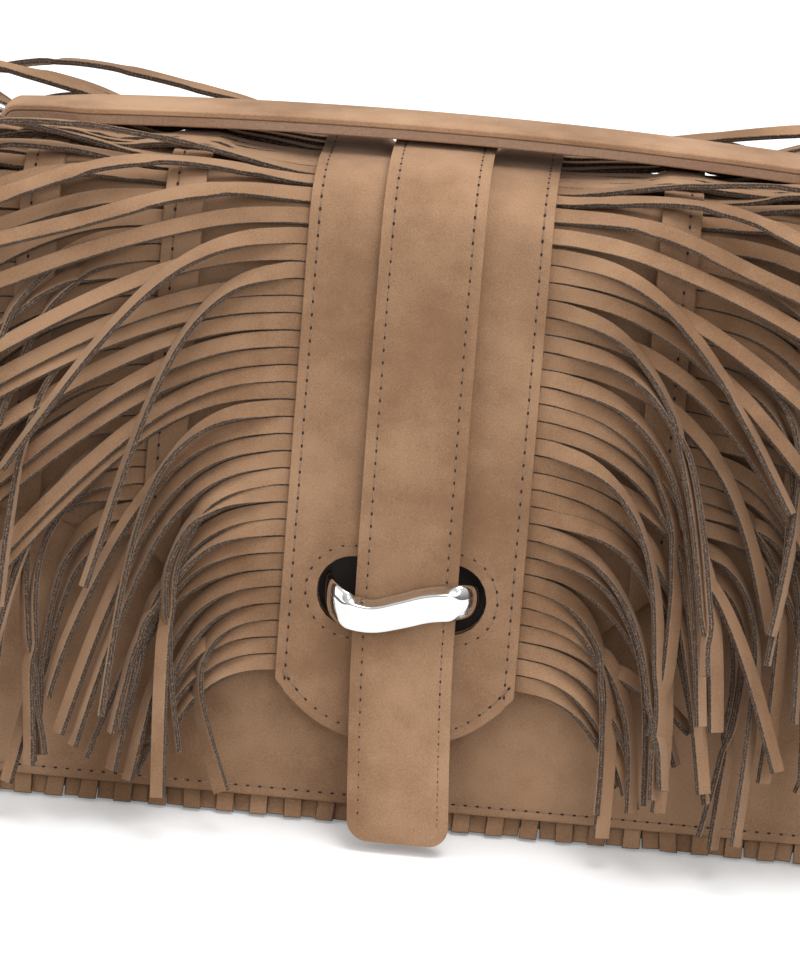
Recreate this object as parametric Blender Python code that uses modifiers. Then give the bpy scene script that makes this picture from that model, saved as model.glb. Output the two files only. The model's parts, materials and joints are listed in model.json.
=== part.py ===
"""Suede handbag with a fringed flap, a strap drawn through a metal loop, and a top handle on two rings.

Origin on the floor at the middle of the base. X to the right, Y to the back, Z up. Metres.
"""
import math

import bmesh
import bpy
import numpy as np

MM = 0.001

# Body
BODY_HEIGHT = 164 * MM
BASE_WIDTH = 262 * MM
TOP_WIDTH = 250 * MM
BASE_DEPTH = 80 * MM
TOP_DEPTH = 56 * MM
PANEL_THICKNESS = 2.0 * MM
SEAM_GAP = 0.3 * MM
FRONT_EDGE_HEIGHT = 6 * MM
GUSSET_FOOT = 0.4 * MM
GUSSET_FOLD = 7 * MM
TRAY_INSET = 5 * MM
TRAY_END_INSET = 3.5 * MM
TRAY_ROUNDING = 8 * MM
TRAY_RIM_HEIGHT = 13 * MM
BOARD_THICKNESS = 2 * MM
BOARD_MARGIN = 4 * MM
LINING_THICKNESS = 1.0 * MM
LINING_FOOT_INSET = 3.5 * MM

# Flap
FLAP_THICKNESS = 1.5 * MM
FLAP_CLEARANCE = 0.8 * MM
FLAP_CROWN = 8.6 * MM
FLAP_TURN_DROP = 4 * MM
FLAP_SQUARENESS = 3.0
FLAP_HALF_WIDTH = 110 * MM
FLAP_BACK_REACH = 58 * MM
FLAP_SIDE_HEIGHT = 74 * MM
FLAP_CORNER_HEIGHT = 80 * MM
PANEL_HALF_WIDTH = 32 * MM
PANEL_CORNER_HEIGHT = 40.5 * MM
PANEL_TIP_HEIGHT = 25.5 * MM
PANEL_BACK_REACH = 46 * MM

# Closing strap
STRAP_HALF_WIDTH = 13.1 * MM
STRAP_THICKNESS = 3.2 * MM
STRAP_BACK_REACH = 43 * MM
STRAP_TIP_HEIGHT = 1 * MM
STRAP_LEAVES_FLAP = 56 * MM
STRAP_TIP_SWING = 11 * MM

# Lock
LOCK_HEIGHT = 66 * MM
SLOT_LENGTH = 45 * MM
SLOT_HEIGHT = 19 * MM
LOOP_HALF_WIDTH = 17.8 * MM
LOOP_THICKNESS = 2.4 * MM
LOOP_BAR_HEIGHT = 8.6 * MM
LOOP_LEG_HEIGHT = 5 * MM
LOOP_SWEEP = 2.4 * MM
LOOP_CORNER = 4 * MM
LOOP_LEG_PLAY = 0.4 * MM
LOCK_PLATE_THICKNESS = 1.6 * MM
LOCK_PLATE_SIZE = (50 * MM, 20 * MM)

# Fringe
FRINGE_PITCH = 4.6 * MM
FRINGE_WIDTH = 4.0 * MM
FRINGE_THICKNESS = 1.3 * MM
FRINGE_RISE = 0.2
FRINGE_FLOOR = 4 * MM
ROW_SPACING = 38 * MM
ROW_LENGTHS = (106 * MM, 94 * MM, 68 * MM)
ROW_BACK_REACH = 30 * MM
ROOT_DEPTH = 7 * MM
BAND_WIDTH = 10 * MM
BAND_THICKNESS = 1.5 * MM
STATIONS = (0.0, 8 * MM, 20 * MM, 36 * MM, 62 * MM)
TOP_DROOP = (1.0, 8.0, 18.0, 28.0, 36.0)
TOP_TWIST = (0.0, 6.0, 18.0, 28.0, 34.0, 38.0)
LOW_DROOP = (4.0, 24.0, 60.0, 80.0, 84.0)
LOW_TWIST = (0.0, 12.0, 45.0, 80.0, 88.0, 90.0)
LEFT_HANG_FROM = 92 * MM
RIGHT_HANG_FROM = 112 * MM
SIDE_FALL_START = 3 * MM
SIDE_FALL = 20.0
EDGE_FRINGE_TURN = (0.0, 25.0, 47.0)

# Handle
HANDLE_HALF_WIDTH = 11 * MM
HANDLE_END_HALF_WIDTH = 7 * MM
HANDLE_THICKNESS = 4.4 * MM
HANDLE_RETURN_LENGTH = 6 * MM
HANDLE_RISE = 4.4 * MM
HANDLE_SIDE_GAP = 3.0 * MM
RING_RADIUS = 10 * MM
RING_WIRE = 1.5 * MM
RING_TILT = 20.0
RING_INNER_X = 112 * MM
RING_ABOVE_FLAP = 2.2 * MM
RING_PLAY = 0.4 * MM
TAB_HALF_WIDTH = 5 * MM
TAB_THICKNESS = 2.0 * MM
TAB_FOOT = 128 * MM

# Colours
SUEDE = ((0.45, 0.27, 0.16), 0.95, 0.0)
SMOOTH_LEATHER = ((0.33, 0.17, 0.08), 0.5, 0.0)
LINING = ((0.30, 0.20, 0.13), 0.85, 0.0)
BOARD = ((0.20, 0.16, 0.12), 0.8, 0.0)
POLISHED = ((0.78, 0.78, 0.77), 0.12, 1.0)

# Heights of the layers above the inside of the flap
FRINGE_LIFT = FLAP_THICKNESS + SEAM_GAP + FRINGE_THICKNESS / 2
COVER_LIFT = FRINGE_LIFT + FRINGE_THICKNESS / 2 + SEAM_GAP
STRAP_LIFT = COVER_LIFT + BAND_THICKNESS + SEAM_GAP
LOOP_LIFT = STRAP_LIFT + STRAP_THICKNESS + SEAM_GAP
ROW_ROOTS = tuple(PANEL_HALF_WIDTH + i * ROW_SPACING for i in range(3))

# What follows from the body's height
FLAP_APEX = BODY_HEIGHT + FLAP_CROWN
FLAP_TURN_HEIGHT = BODY_HEIGHT - FLAP_TURN_DROP
RING_INNER_Z = FLAP_APEX + RING_ABOVE_FLAP


for old in list(bpy.data.objects):
    bpy.data.objects.remove(old, do_unlink=True)
bag = bpy.data.collections.new("fringed_suede_bag")
bpy.context.scene.collection.children.link(bag)
cutters = bpy.data.collections.new("cutters")
bpy.context.scene.collection.children.link(cutters)


def dress(obj, look):
    """Give an object its own plain material."""
    colour, roughness, metallic = look
    material = bpy.data.materials.new(obj.name + "_material")
    material.use_nodes = True
    shader = material.node_tree.nodes["Principled BSDF"]
    shader.inputs["Base Color"].default_value = (*colour, 1.0)
    shader.inputs["Roughness"].default_value = roughness
    shader.inputs["Metallic"].default_value = metallic
    obj.data.materials.append(material)
    return obj


def sheet(name, us, vs, shape, thickness, side, look, keep=None):
    """One layer of material: a grid laid out by shape(u, v), then given its thickness."""
    bm = bmesh.new()
    bmesh.ops.create_grid(bm, x_segments=len(us) - 1, y_segments=len(vs) - 1, size=0.5)
    spot = {}
    for vert in bm.verts:
        i = round((vert.co.x + 0.5) * (len(us) - 1))
        j = round((vert.co.y + 0.5) * (len(vs) - 1))
        spot[vert] = (i, j)
    if keep is not None:
        unwanted = []
        for face in bm.faces:
            i = min(spot[v][0] for v in face.verts)
            j = min(spot[v][1] for v in face.verts)
            if not keep(i, j):
                unwanted.append(face)
        bmesh.ops.delete(bm, geom=unwanted, context="FACES")
    for vert in bm.verts:
        i, j = spot[vert]
        vert.co = shape(us[i], vs[j])
    mesh = bpy.data.meshes.new(name)
    bm.to_mesh(mesh)
    bm.free()
    obj = bpy.data.objects.new(name, mesh)
    bag.objects.link(obj)
    thick = obj.modifiers.new("thickness", "SOLIDIFY")
    thick.thickness = thickness
    thick.offset = side
    return dress(obj, look)


def cut(obj, cutter):
    """Cut a shape out of an object."""
    cutter.hide_render = True
    cutter.display_type = "WIRE"
    for home in list(cutter.users_collection):
        home.objects.unlink(cutter)
    cutters.objects.link(cutter)
    hole = obj.modifiers.new("hole", "BOOLEAN")
    hole.operation = "DIFFERENCE"
    hole.solver = "EXACT"
    hole.object = cutter


def front_y(z):
    """Outside of the front panel at height z."""
    lean = (BASE_DEPTH - TOP_DEPTH) / 2 / BODY_HEIGHT
    return -(BASE_DEPTH / 2 - lean * z)


def half_width(z):
    """Half the width of the body at height z."""
    return BASE_WIDTH / 2 - (BASE_WIDTH - TOP_WIDTH) / 2 * z / BODY_HEIGHT


# Side view of the flap, from the foot of the back, over the top, to the foot of the front
LEAN = math.atan2((BASE_DEPTH - TOP_DEPTH) / 2, BODY_HEIGHT)


def flap_side_view():
    ys = []
    zs = []
    for z in np.linspace(0.0, FLAP_TURN_HEIGHT, 60)[:-1]:
        ys.append(-front_y(z) + FLAP_CLEARANCE * math.cos(LEAN))
        zs.append(z + FLAP_CLEARANCE * math.sin(LEAN))
    reach = -front_y(FLAP_TURN_HEIGHT) + FLAP_CLEARANCE * math.cos(LEAN)
    base = FLAP_TURN_HEIGHT + FLAP_CLEARANCE * math.sin(LEAN)
    rise = FLAP_APEX - base
    power = 2.0 / FLAP_SQUARENESS
    for turn in np.linspace(0.0, math.pi, 121):
        across = math.cos(turn)
        ys.append(math.copysign(abs(across) ** power, across) * reach)
        zs.append(base + abs(math.sin(turn)) ** power * rise)
    count = len(ys)
    for i in range(count - 122, -1, -1):
        ys.append(-ys[i])
        zs.append(zs[i])
    ys = np.array(ys)
    zs = np.array(zs)
    run = np.concatenate([[0.0], np.cumsum(np.hypot(np.diff(ys), np.diff(zs)))])
    run -= run[-1] / 2
    even = np.linspace(run[0], run[-1], 400)
    ys = np.interp(even, run, ys)
    zs = np.interp(even, run, zs)
    ty = np.gradient(ys, even)
    tz = np.gradient(zs, even)
    kernel = np.ones(9) / 9
    ty = np.convolve(np.pad(ty, 4, mode="edge"), kernel, mode="valid")
    tz = np.convolve(np.pad(tz, 4, mode="edge"), kernel, mode="valid")
    size = np.hypot(ty, tz)
    return even, ys, zs, tz / size, -ty / size


RUN, PATH_Y, PATH_Z, PATH_NY, PATH_NZ = flap_side_view()


def on_flap(x, s, lift):
    """Point above the inside of the flap: s runs along it from the top, forward positive."""
    y = np.interp(s, RUN, PATH_Y) + lift * np.interp(s, RUN, PATH_NY)
    z = np.interp(s, RUN, PATH_Z) + lift * np.interp(s, RUN, PATH_NZ)
    return (float(x), float(y), float(z))


def run_at_height(z):
    """Distance along the front of the flap at height z."""
    front = RUN > 0
    return float(np.interp(-z, -PATH_Z[front], RUN[front]))


def flap_edge(x):
    """Height of the lower edge of the flap at x."""
    tip = PANEL_TIP_HEIGHT
    corner = PANEL_CORNER_HEIGHT
    xs = (0.0, 0.47 * PANEL_HALF_WIDTH, 0.78 * PANEL_HALF_WIDTH, PANEL_HALF_WIDTH, ROW_ROOTS[1], FLAP_HALF_WIDTH)
    heights = (tip, tip + 1.5 * MM, tip + 7 * MM, corner, FLAP_SIDE_HEIGHT, FLAP_CORNER_HEIGHT)
    return float(np.interp(abs(x), xs, heights))


TURN_RUN = 42 * MM
TURN_STEPS = 30
OVER_THE_TOP = [TURN_RUN * (2 * n / TURN_STEPS - 1) for n in range(TURN_STEPS + 1)]


def flap_layer(name, xs, back_reach, lift, thickness, look):
    """A layer that follows the flap from behind the top to the flap's lower edge."""
    over = [s for s in OVER_THE_TOP if s > -back_reach + MM]
    rows = [-back_reach] + over + [TURN_RUN + step for step in (1.0, 2.0, 3.0)]

    def shape(x, row):
        if row > TURN_RUN:
            part = (row - TURN_RUN) / 3.0
            return on_flap(x, TURN_RUN + part * (run_at_height(flap_edge(x)) - TURN_RUN), lift)
        return on_flap(x, row, lift)

    return sheet(name, xs, rows, shape, thickness, -1.0, look)


# Body panels
def wall(name, direction, look=SUEDE):
    """Front or back panel of the body; direction is -1 for the front."""
    def shape(side, z):
        return (side * half_width(z) * -direction, -direction * front_y(z), z)
    return sheet(name, (-1.0, 1.0), (FRONT_EDGE_HEIGHT, BODY_HEIGHT), shape, PANEL_THICKNESS, -1.0, look)


front_panel = wall("front_panel", -1)
back_panel = wall("back_panel", 1)


def gusset_fold(z):
    """How far the middle of an end panel is folded in at height z."""
    return GUSSET_FOLD * z / BODY_HEIGHT


def gusset(name, direction):
    def shape(side, z):
        depth = -front_y(z) - PANEL_THICKNESS - SEAM_GAP
        x = half_width(z) - gusset_fold(z) * (1 - abs(side)) ** 2
        return (direction * x, direction * side * depth, z)
    sides = (-1.0, -0.75, -0.5, -0.25, 0.0, 0.25, 0.5, 0.75, 1.0)
    heights = [GUSSET_FOOT + (BODY_HEIGHT - GUSSET_FOOT) * n / 2 for n in range(3)]
    return sheet(name, sides, heights, shape, PANEL_THICKNESS, -1.0, SUEDE)


gusset("gusset_left", -1)
gusset("gusset_right", 1)

# Base: a tray with rounded front and back edges, a stiff board and the lining
TRAY_HALF_DEPTH = BASE_DEPTH / 2 - TRAY_INSET
TRAY_HALF_WIDTH = BASE_WIDTH / 2 - TRAY_END_INSET
TRAY_FLAT = TRAY_HALF_DEPTH - TRAY_ROUNDING


def tray_profile():
    points = [(-TRAY_HALF_DEPTH, TRAY_RIM_HEIGHT)]
    for turn in range(0, 91, 15):
        angle = math.radians(turn)
        y = -TRAY_FLAT - TRAY_ROUNDING * math.cos(angle)
        points.append((y, TRAY_ROUNDING * (1 - math.sin(angle))))
    return points + [(-y, z) for y, z in reversed(points)]


TRAY = tray_profile()


def tray_shape(x, j):
    y, z = TRAY[j]
    return (x, y, z)


sheet("base_panel", (-TRAY_HALF_WIDTH, TRAY_HALF_WIDTH), range(len(TRAY)), tray_shape, PANEL_THICKNESS, 1.0, SUEDE)

BOARD_BASE = PANEL_THICKNESS + SEAM_GAP
bpy.ops.mesh.primitive_cube_add(size=1.0, location=(0, 0, BOARD_BASE + BOARD_THICKNESS / 2))
board = bpy.context.object
board.name = "base_board"
board.dimensions = (2 * (TRAY_HALF_WIDTH - BOARD_MARGIN), 2 * TRAY_FLAT, BOARD_THICKNESS)
dress(board, BOARD)

LINING_BASE = BOARD_BASE + BOARD_THICKNESS + SEAM_GAP
LINING_SIDE = PANEL_THICKNESS + 2 * SEAM_GAP
LINING_FOOT_HALF_DEPTH = TRAY_HALF_DEPTH - LINING_FOOT_INSET


def lined_box():
    """Open-topped box that follows the inside of the body."""
    mesh = bpy.data.meshes.new("lining")
    obj = bpy.data.objects.new("lining", mesh)
    bm = bmesh.new()
    bmesh.ops.create_cube(bm, size=2.0)
    top = [f for f in bm.faces if f.calc_center_median().z > 0.9]
    bmesh.ops.delete(bm, geom=top, context="FACES")
    for vert in bm.verts:
        z = BODY_HEIGHT if vert.co.z > 0 else LINING_BASE
        deep = -front_y(z) - LINING_SIDE if vert.co.z > 0 else LINING_FOOT_HALF_DEPTH
        wide = half_width(z) - LINING_SIDE - gusset_fold(z)
        vert.co = (vert.co.x * wide, vert.co.y * deep, z)
    bm.to_mesh(mesh)
    bm.free()
    bag.objects.link(obj)
    thick = obj.modifiers.new("thickness", "SOLIDIFY")
    thick.thickness = LINING_THICKNESS
    thick.offset = -1.0
    thick.use_even_offset = True
    return dress(obj, LINING)


lined_box()

# Flap and the panel sewn on its middle
PANEL_COLUMNS = [0.0, 0.47 * PANEL_HALF_WIDTH, 0.78 * PANEL_HALF_WIDTH, PANEL_HALF_WIDTH]
FLAP_COLUMNS = PANEL_COLUMNS + [ROW_ROOTS[1], FLAP_HALF_WIDTH]
flap_xs = [-x for x in reversed(FLAP_COLUMNS[1:])] + FLAP_COLUMNS
panel_xs = [-x for x in reversed(PANEL_COLUMNS[1:])] + PANEL_COLUMNS
flap = flap_layer("flap", flap_xs, FLAP_BACK_REACH, 0.0, FLAP_THICKNESS, SUEDE)
centre_panel = flap_layer("centre_panel", panel_xs, PANEL_BACK_REACH, COVER_LIFT, BAND_THICKNESS, SUEDE)

# The oval slot that the lock loop comes through
LOCK_RUN = run_at_height(LOCK_HEIGHT)
SLOT_ROUND = SLOT_HEIGHT / 2
lock_x, lock_y, lock_z = on_flap(0.0, LOCK_RUN, 0.0)


def slot_cutter(name):
    """An upright oval bar: a cylinder pulled apart into a slot shape."""
    mesh = bpy.data.meshes.new(name)
    obj = bpy.data.objects.new(name, mesh)
    bm = bmesh.new()
    bmesh.ops.create_cone(bm, cap_ends=True, segments=20, radius1=SLOT_ROUND, radius2=SLOT_ROUND, depth=16 * MM)
    for vert in bm.verts:
        vert.co.x += math.copysign(SLOT_LENGTH / 2 - SLOT_ROUND, vert.co.x)
    bm.to_mesh(mesh)
    bm.free()
    bag.objects.link(obj)
    obj.location = (lock_x, lock_y, lock_z)
    obj.rotation_euler = (math.pi / 2 - LEAN, 0.0, 0.0)
    return obj


cut(flap, slot_cutter("flap_slot"))
cut(centre_panel, slot_cutter("panel_slot"))

# Closing strap
STRAP_PARTS = (0.0, 0.4, 0.8, 0.93, 0.98, 1.0)
STRAP_NARROWING = {0.98: 0.92, 1.0: 0.66}


def strap_shape(side, row):
    if row <= TURN_RUN:
        return on_flap(side * STRAP_HALF_WIDTH, row, STRAP_LIFT)
    free = run_at_height(STRAP_LEAVES_FLAP)
    tip = run_at_height(STRAP_TIP_HEIGHT)
    stage = row - TURN_RUN
    if stage <= 1.0:
        return on_flap(side * STRAP_HALF_WIDTH, TURN_RUN + stage * (free - TURN_RUN), STRAP_LIFT)
    part = stage - 1.0
    width = STRAP_HALF_WIDTH * STRAP_NARROWING.get(round(part, 2), 1.0)
    return on_flap(side * width, free + part * (tip - free), STRAP_LIFT + STRAP_TIP_SWING * part ** 1.6)


strap_rows = [-STRAP_BACK_REACH] + [s for s in OVER_THE_TOP if s > -STRAP_BACK_REACH + MM]
strap_rows += [TURN_RUN + 0.5, TURN_RUN + 1.0] + [TURN_RUN + 1.0 + part for part in STRAP_PARTS[1:]]
sheet("closing_strap", (-1.0, 1.0), strap_rows, strap_shape, STRAP_THICKNESS, -1.0, SUEDE)

# Lock: a loop that stands out of the slot, its legs through the front panel, a plate behind
PANEL_INSIDE = -(FLAP_CLEARANCE + PANEL_THICKNESS)


def loop_path():
    points = [(-LOOP_HALF_WIDTH, PANEL_INSIDE), (-LOOP_HALF_WIDTH, 2 * MM)]
    for turn in range(0, 91, 30):
        angle = math.radians(turn)
        x = -LOOP_HALF_WIDTH + LOOP_CORNER * (1 - math.cos(angle))
        points.append((x, LOOP_LIFT - LOOP_CORNER + LOOP_CORNER * math.sin(angle)))
    points += [(-6 * MM, LOOP_LIFT)]
    return points + [(-x, lift) for x, lift in reversed(points)]


LOOP = loop_path()


def loop_shape(i, side):
    x, lift = LOOP[i]
    full = (lift - 2 * MM) / (LOOP_LIFT - 2 * MM)
    height = LOOP_LEG_HEIGHT + (LOOP_BAR_HEIGHT - LOOP_LEG_HEIGHT) * max(0.0, full)
    sweep = LOOP_SWEEP * math.sin(math.pi / 2 * x / LOOP_HALF_WIDTH)
    return on_flap(x, LOCK_RUN - sweep + side * height / 2, lift)


loop = sheet("lock_loop", range(len(LOOP)), (-1.0, 1.0), loop_shape, LOOP_THICKNESS, -1.0, POLISHED)
loop.modifiers["thickness"].use_even_offset = True

for direction in (-1, 1):
    bpy.ops.mesh.primitive_cube_add(size=1.0)
    leg_hole = bpy.context.object
    leg_hole.name = "leg_hole_left" if direction < 0 else "leg_hole_right"
    leg_x = direction * (LOOP_HALF_WIDTH + LOOP_THICKNESS / 2)
    sweep = direction * LOOP_SWEEP
    leg_hole.location = on_flap(leg_x, LOCK_RUN - sweep, PANEL_INSIDE + PANEL_THICKNESS / 2)
    across = LOOP_THICKNESS + 2 * LOOP_LEG_PLAY
    leg_hole.dimensions = (across, 4 * PANEL_THICKNESS, LOOP_LEG_HEIGHT + 2 * LOOP_LEG_PLAY)
    leg_hole.rotation_euler = (-LEAN, 0.0, 0.0)
    cut(front_panel, leg_hole)

plate_xs = (-LOCK_PLATE_SIZE[0] / 2, LOCK_PLATE_SIZE[0] / 2)
plate_ss = (-LOCK_PLATE_SIZE[1] / 2, LOCK_PLATE_SIZE[1] / 2)


def plate_shape(x, s):
    return on_flap(x, LOCK_RUN + s, PANEL_INSIDE - SEAM_GAP)


sheet("lock_plate", plate_xs, plate_ss, plate_shape, LOCK_PLATE_THICKNESS, 1.0, POLISHED)


# Fringe on the flap
def between(low, high, part):
    """Values part of the way from one list to another."""
    return [a + (b - a) * part for a, b in zip(low, high)]


def side_fall(x):
    """Strips that reach past the end of the bag fall in behind its corner, by this much at x."""
    past = max(0.0, x - half_width(BODY_HEIGHT) - SIDE_FALL_START)
    return SIDE_FALL * past ** 2


def fall(root, hang_from):
    """Droop and twist of a strip. Those on the top of the bag lie flat, and those low on the front hang down."""
    start = run_at_height(FLAP_TURN_HEIGHT)
    level = min(1.0, abs(root) / start) ** 2
    low = min(1.0, max(0.0, (abs(root) - start) / (run_at_height(hang_from) - start)))
    droop = [level * a for a in between(TOP_DROOP, LOW_DROOP, low)]
    return droop, between(TOP_TWIST, LOW_TWIST, low)


def strip_path(droop, twist, length, forward):
    """Stations along one strip: (out, down, lift, droop angle, twist)."""
    out = 0.0
    down = 0.0
    marks = list(STATIONS) + [length]
    spots = []
    for n, mark in enumerate(marks):
        if n > 0:
            step = mark - marks[n - 1]
            angle = math.radians(droop[n - 1])
            out += step * math.cos(angle)
            down += step * math.sin(angle)
        before = droop[max(n - 1, 0)] if n > 0 else 0.0
        after = droop[n] if n < len(droop) else droop[-1]
        spots.append((out, forward * down, FRINGE_RISE * mark, (before + after) / 2, twist[n]))
    return spots


def strip_length(full, root, droop):
    """Full length, or less where the strip would reach the floor."""
    drop = 0.0
    marks = list(STATIONS)
    for n in range(1, len(marks)):
        drop += (marks[n] - marks[n - 1]) * math.sin(math.radians(droop[n - 1]))
    room = run_at_height(FRINGE_FLOOR) - root - drop
    return min(full, marks[-1] + room / math.sin(math.radians(droop[-1])))


UNDER_HANDLE = HANDLE_HALF_WIDTH + HANDLE_SIDE_GAP


def fringe_row(name, side, index, hang_from):
    edge = ROW_ROOTS[index]
    stop = run_at_height(flap_edge(edge) + 2 * MM)
    count = int((stop + ROW_BACK_REACH) / FRINGE_PITCH)
    roots = [stop - FRINGE_WIDTH / 2 - (count - k) * FRINGE_PITCH for k in range(count + 1)]
    columns = []
    for root in roots:
        columns += [root - FRINGE_WIDTH / 2, root + FRINGE_WIDTH / 2]
    paths = []
    for k, root in enumerate(roots):
        uneven = 1.0 - 0.05 * ((7 * k) % 5) / 4
        full = ROW_LENGTHS[index] * uneven
        forward = 1.0 if root > 0 else -1.0
        droop, twist = fall(root, hang_from)
        length = strip_length(full, root, droop) if root > 0 else full
        paths.append(strip_path(droop, twist, length, forward))

    def shape(i, j):
        if i == 0:
            return on_flap(side * (edge - ROOT_DEPTH), columns[j], FRINGE_LIFT)
        if i == 1:
            return on_flap(side * edge, columns[j], FRINGE_LIFT)
        k = j // 2
        half = FRINGE_WIDTH / 2 if j % 2 else -FRINGE_WIDTH / 2
        out, down, lift, angle, turn = paths[k][i - 1]
        forward = 1.0 if roots[k] > 0 else -1.0
        angle = math.radians(angle) * forward
        turn = math.radians(turn) * forward
        across_out = -math.sin(angle) * math.cos(turn)
        across_down = math.cos(angle) * math.cos(turn)
        across_lift = math.sin(turn)
        x = edge + out + half * across_out
        s = roots[k] + down + half * across_down
        return on_flap(side * x, s, FRINGE_LIFT + lift - side_fall(edge + out) + half * across_lift)

    def keep(i, j):
        if i == 0:
            return True
        if j % 2:
            return False
        return abs(roots[j // 2]) > UNDER_HANDLE

    stations = range(len(STATIONS) + 2)
    row = sheet(name, stations, range(len(columns)), shape, FRINGE_THICKNESS, 0.0, SUEDE, keep)
    return row


for index in range(3):
    fringe_row(f"fringe_left_{index + 1}", -1, index, LEFT_HANG_FROM)
    fringe_row(f"fringe_right_{index + 1}", 1, index, RIGHT_HANG_FROM)

# Stitched bands over the roots of the two outer rows
for index in (1, 2):
    for side, word in ((-1, "left"), (1, "right")):
        inner = ROW_ROOTS[index] - BAND_WIDTH
        band_xs = sorted((side * inner, side * (ROW_ROOTS[index] + 0.5 * MM)))
        flap_layer(f"band_{word}_{index + 1}", band_xs, PANEL_BACK_REACH, COVER_LIFT, BAND_THICKNESS, SUEDE)


# Short fringe under the front and back edges of the body
def edge_fringe(name, direction):
    count = int(2 * (TRAY_HALF_WIDTH - MM) / FRINGE_PITCH)
    start = -(count * FRINGE_PITCH) / 2
    columns = []
    for k in range(count + 1):
        root = start + k * FRINGE_PITCH
        columns += [root - FRINGE_WIDTH / 2, root + FRINGE_WIDTH / 2]
    reach = TRAY_ROUNDING + SEAM_GAP + FRINGE_THICKNESS / 2
    profile = [(TRAY_FLAT + reach, TRAY_RIM_HEIGHT)]
    for turn in EDGE_FRINGE_TURN:
        angle = math.radians(turn)
        profile.append((TRAY_FLAT + reach * math.cos(angle), TRAY_ROUNDING - reach * math.sin(angle)))

    def shape(i, j):
        y, z = profile[j]
        return (columns[i] * direction, direction * y, z)

    def keep(i, j):
        return j == 0 or i % 2 == 0

    return sheet(name, range(len(columns)), range(len(profile)), shape, FRINGE_THICKNESS, 0.0, SUEDE, keep)


edge_fringe("edge_fringe_front", -1)
edge_fringe("edge_fringe_back", 1)

# Rings, the tabs that hold them and the handle
tilt = math.radians(RING_TILT)
RING_CENTRE_X = RING_INNER_X + RING_RADIUS * math.cos(tilt)
RING_CENTRE_Z = RING_INNER_Z + RING_RADIUS * math.sin(tilt)
RING_OUTER_X = RING_INNER_X + 2 * RING_RADIUS * math.cos(tilt)
RING_OUTER_Z = RING_INNER_Z + 2 * RING_RADIUS * math.sin(tilt)


def ring_bow(half):
    """How far from the wire's line the round ring reaches over half a strap width."""
    return RING_RADIUS - math.sqrt((RING_RADIUS - RING_WIRE) ** 2 - half ** 2)


for direction, word in ((-1, "left"), (1, "right")):
    bpy.ops.mesh.primitive_torus_add(major_segments=28, minor_segments=8, major_radius=RING_RADIUS,
                                     minor_radius=RING_WIRE)
    ring = bpy.context.object
    ring.name = "ring_" + word
    ring.location = (direction * RING_CENTRE_X, 0.0, RING_CENTRE_Z)
    ring.rotation_euler = (0.0, -direction * tilt, 0.0)
    dress(ring, POLISHED)

TAB_INNER = RING_OUTER_X - ring_bow(TAB_HALF_WIDTH) - RING_PLAY
TAB_OUTER = RING_OUTER_X + RING_WIRE + RING_PLAY
TAB_ROUND = (TAB_OUTER - TAB_INNER) / 2
TAB_LEG = TAB_THICKNESS + SEAM_GAP


def tab_path():
    """Side of the tab that faces the ring: up against the gusset, over the wire and down again."""
    points = [(half_width(TAB_FOOT) + TAB_LEG, TAB_FOOT)]
    points += [(half_width(BODY_HEIGHT) + TAB_LEG, BODY_HEIGHT)]
    points += [(TAB_INNER, RING_OUTER_Z - 8 * MM), (TAB_INNER, RING_OUTER_Z)]
    for turn in range(150, -1, -30):
        angle = math.radians(turn)
        x = TAB_INNER + TAB_ROUND + TAB_ROUND * math.cos(angle)
        points.append((x, RING_OUTER_Z + TAB_ROUND * math.sin(angle)))
    points += [(TAB_OUTER, RING_OUTER_Z - 4 * MM)]
    points += [(half_width(BODY_HEIGHT) + TAB_LEG + 2 * SEAM_GAP, BODY_HEIGHT + 8 * MM)]
    points += [(half_width(TAB_FOOT) + TAB_LEG + SEAM_GAP, TAB_FOOT + 6 * MM)]
    return points


TAB = tab_path()
for direction, word in ((-1, "left"), (1, "right")):
    def tab_shape(i, side, direction=direction):
        x, z = TAB[i]
        return (direction * x, direction * side * TAB_HALF_WIDTH, z)
    sheet("ring_tab_" + word, range(len(TAB)), (-1.0, 1.0), tab_shape, TAB_THICKNESS, 1.0, SMOOTH_LEATHER)

END_FLOOR = RING_INNER_Z - RING_WIRE - RING_PLAY
END_CEILING = RING_INNER_Z + RING_WIRE + RING_PLAY + ring_bow(HANDLE_END_HALF_WIDTH) * math.sin(tilt)
END_ROUND = (END_CEILING - END_FLOOR) / 2
END_REACH = RING_INNER_X + ring_bow(HANDLE_END_HALF_WIDTH) + RING_PLAY


FULL = HANDLE_HALF_WIDTH
END = HANDLE_END_HALF_WIDTH
HANDLE_PARTS = ((0.0, FULL), (0.2, FULL), (0.4, FULL), (0.57, FULL), (0.72, FULL), (0.84, FULL), (0.93, END))


def handle_half():
    """Right half of the side of the handle that faces down and round the ring: (x, z, width, thickness)."""
    points = []
    spread = END_REACH - END_ROUND
    for part, wide in HANDLE_PARTS:
        rise = HANDLE_RISE * (1 - part ** 2)
        points.append((part * spread, END_CEILING + rise, wide, 1.0))
    for turn in range(90, -91, -30):
        angle = math.radians(turn)
        x = spread + END_ROUND * math.cos(angle)
        z = END_FLOOR + END_ROUND + END_ROUND * math.sin(angle)
        thin = 0.75 if turn > 60 else 0.5
        points.append((x, z, HANDLE_END_HALF_WIDTH, thin))
    points.append((END_REACH - HANDLE_RETURN_LENGTH, END_FLOOR, HANDLE_END_HALF_WIDTH, 0.5))
    return points


HALF = handle_half()
HANDLE = [(-x, z, wide, thin) for x, z, wide, thin in reversed(HALF[1:])] + HALF


def handle_shape(i, side):
    x, z, wide, thin = HANDLE[i]
    return (x, side * wide, z)


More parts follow.
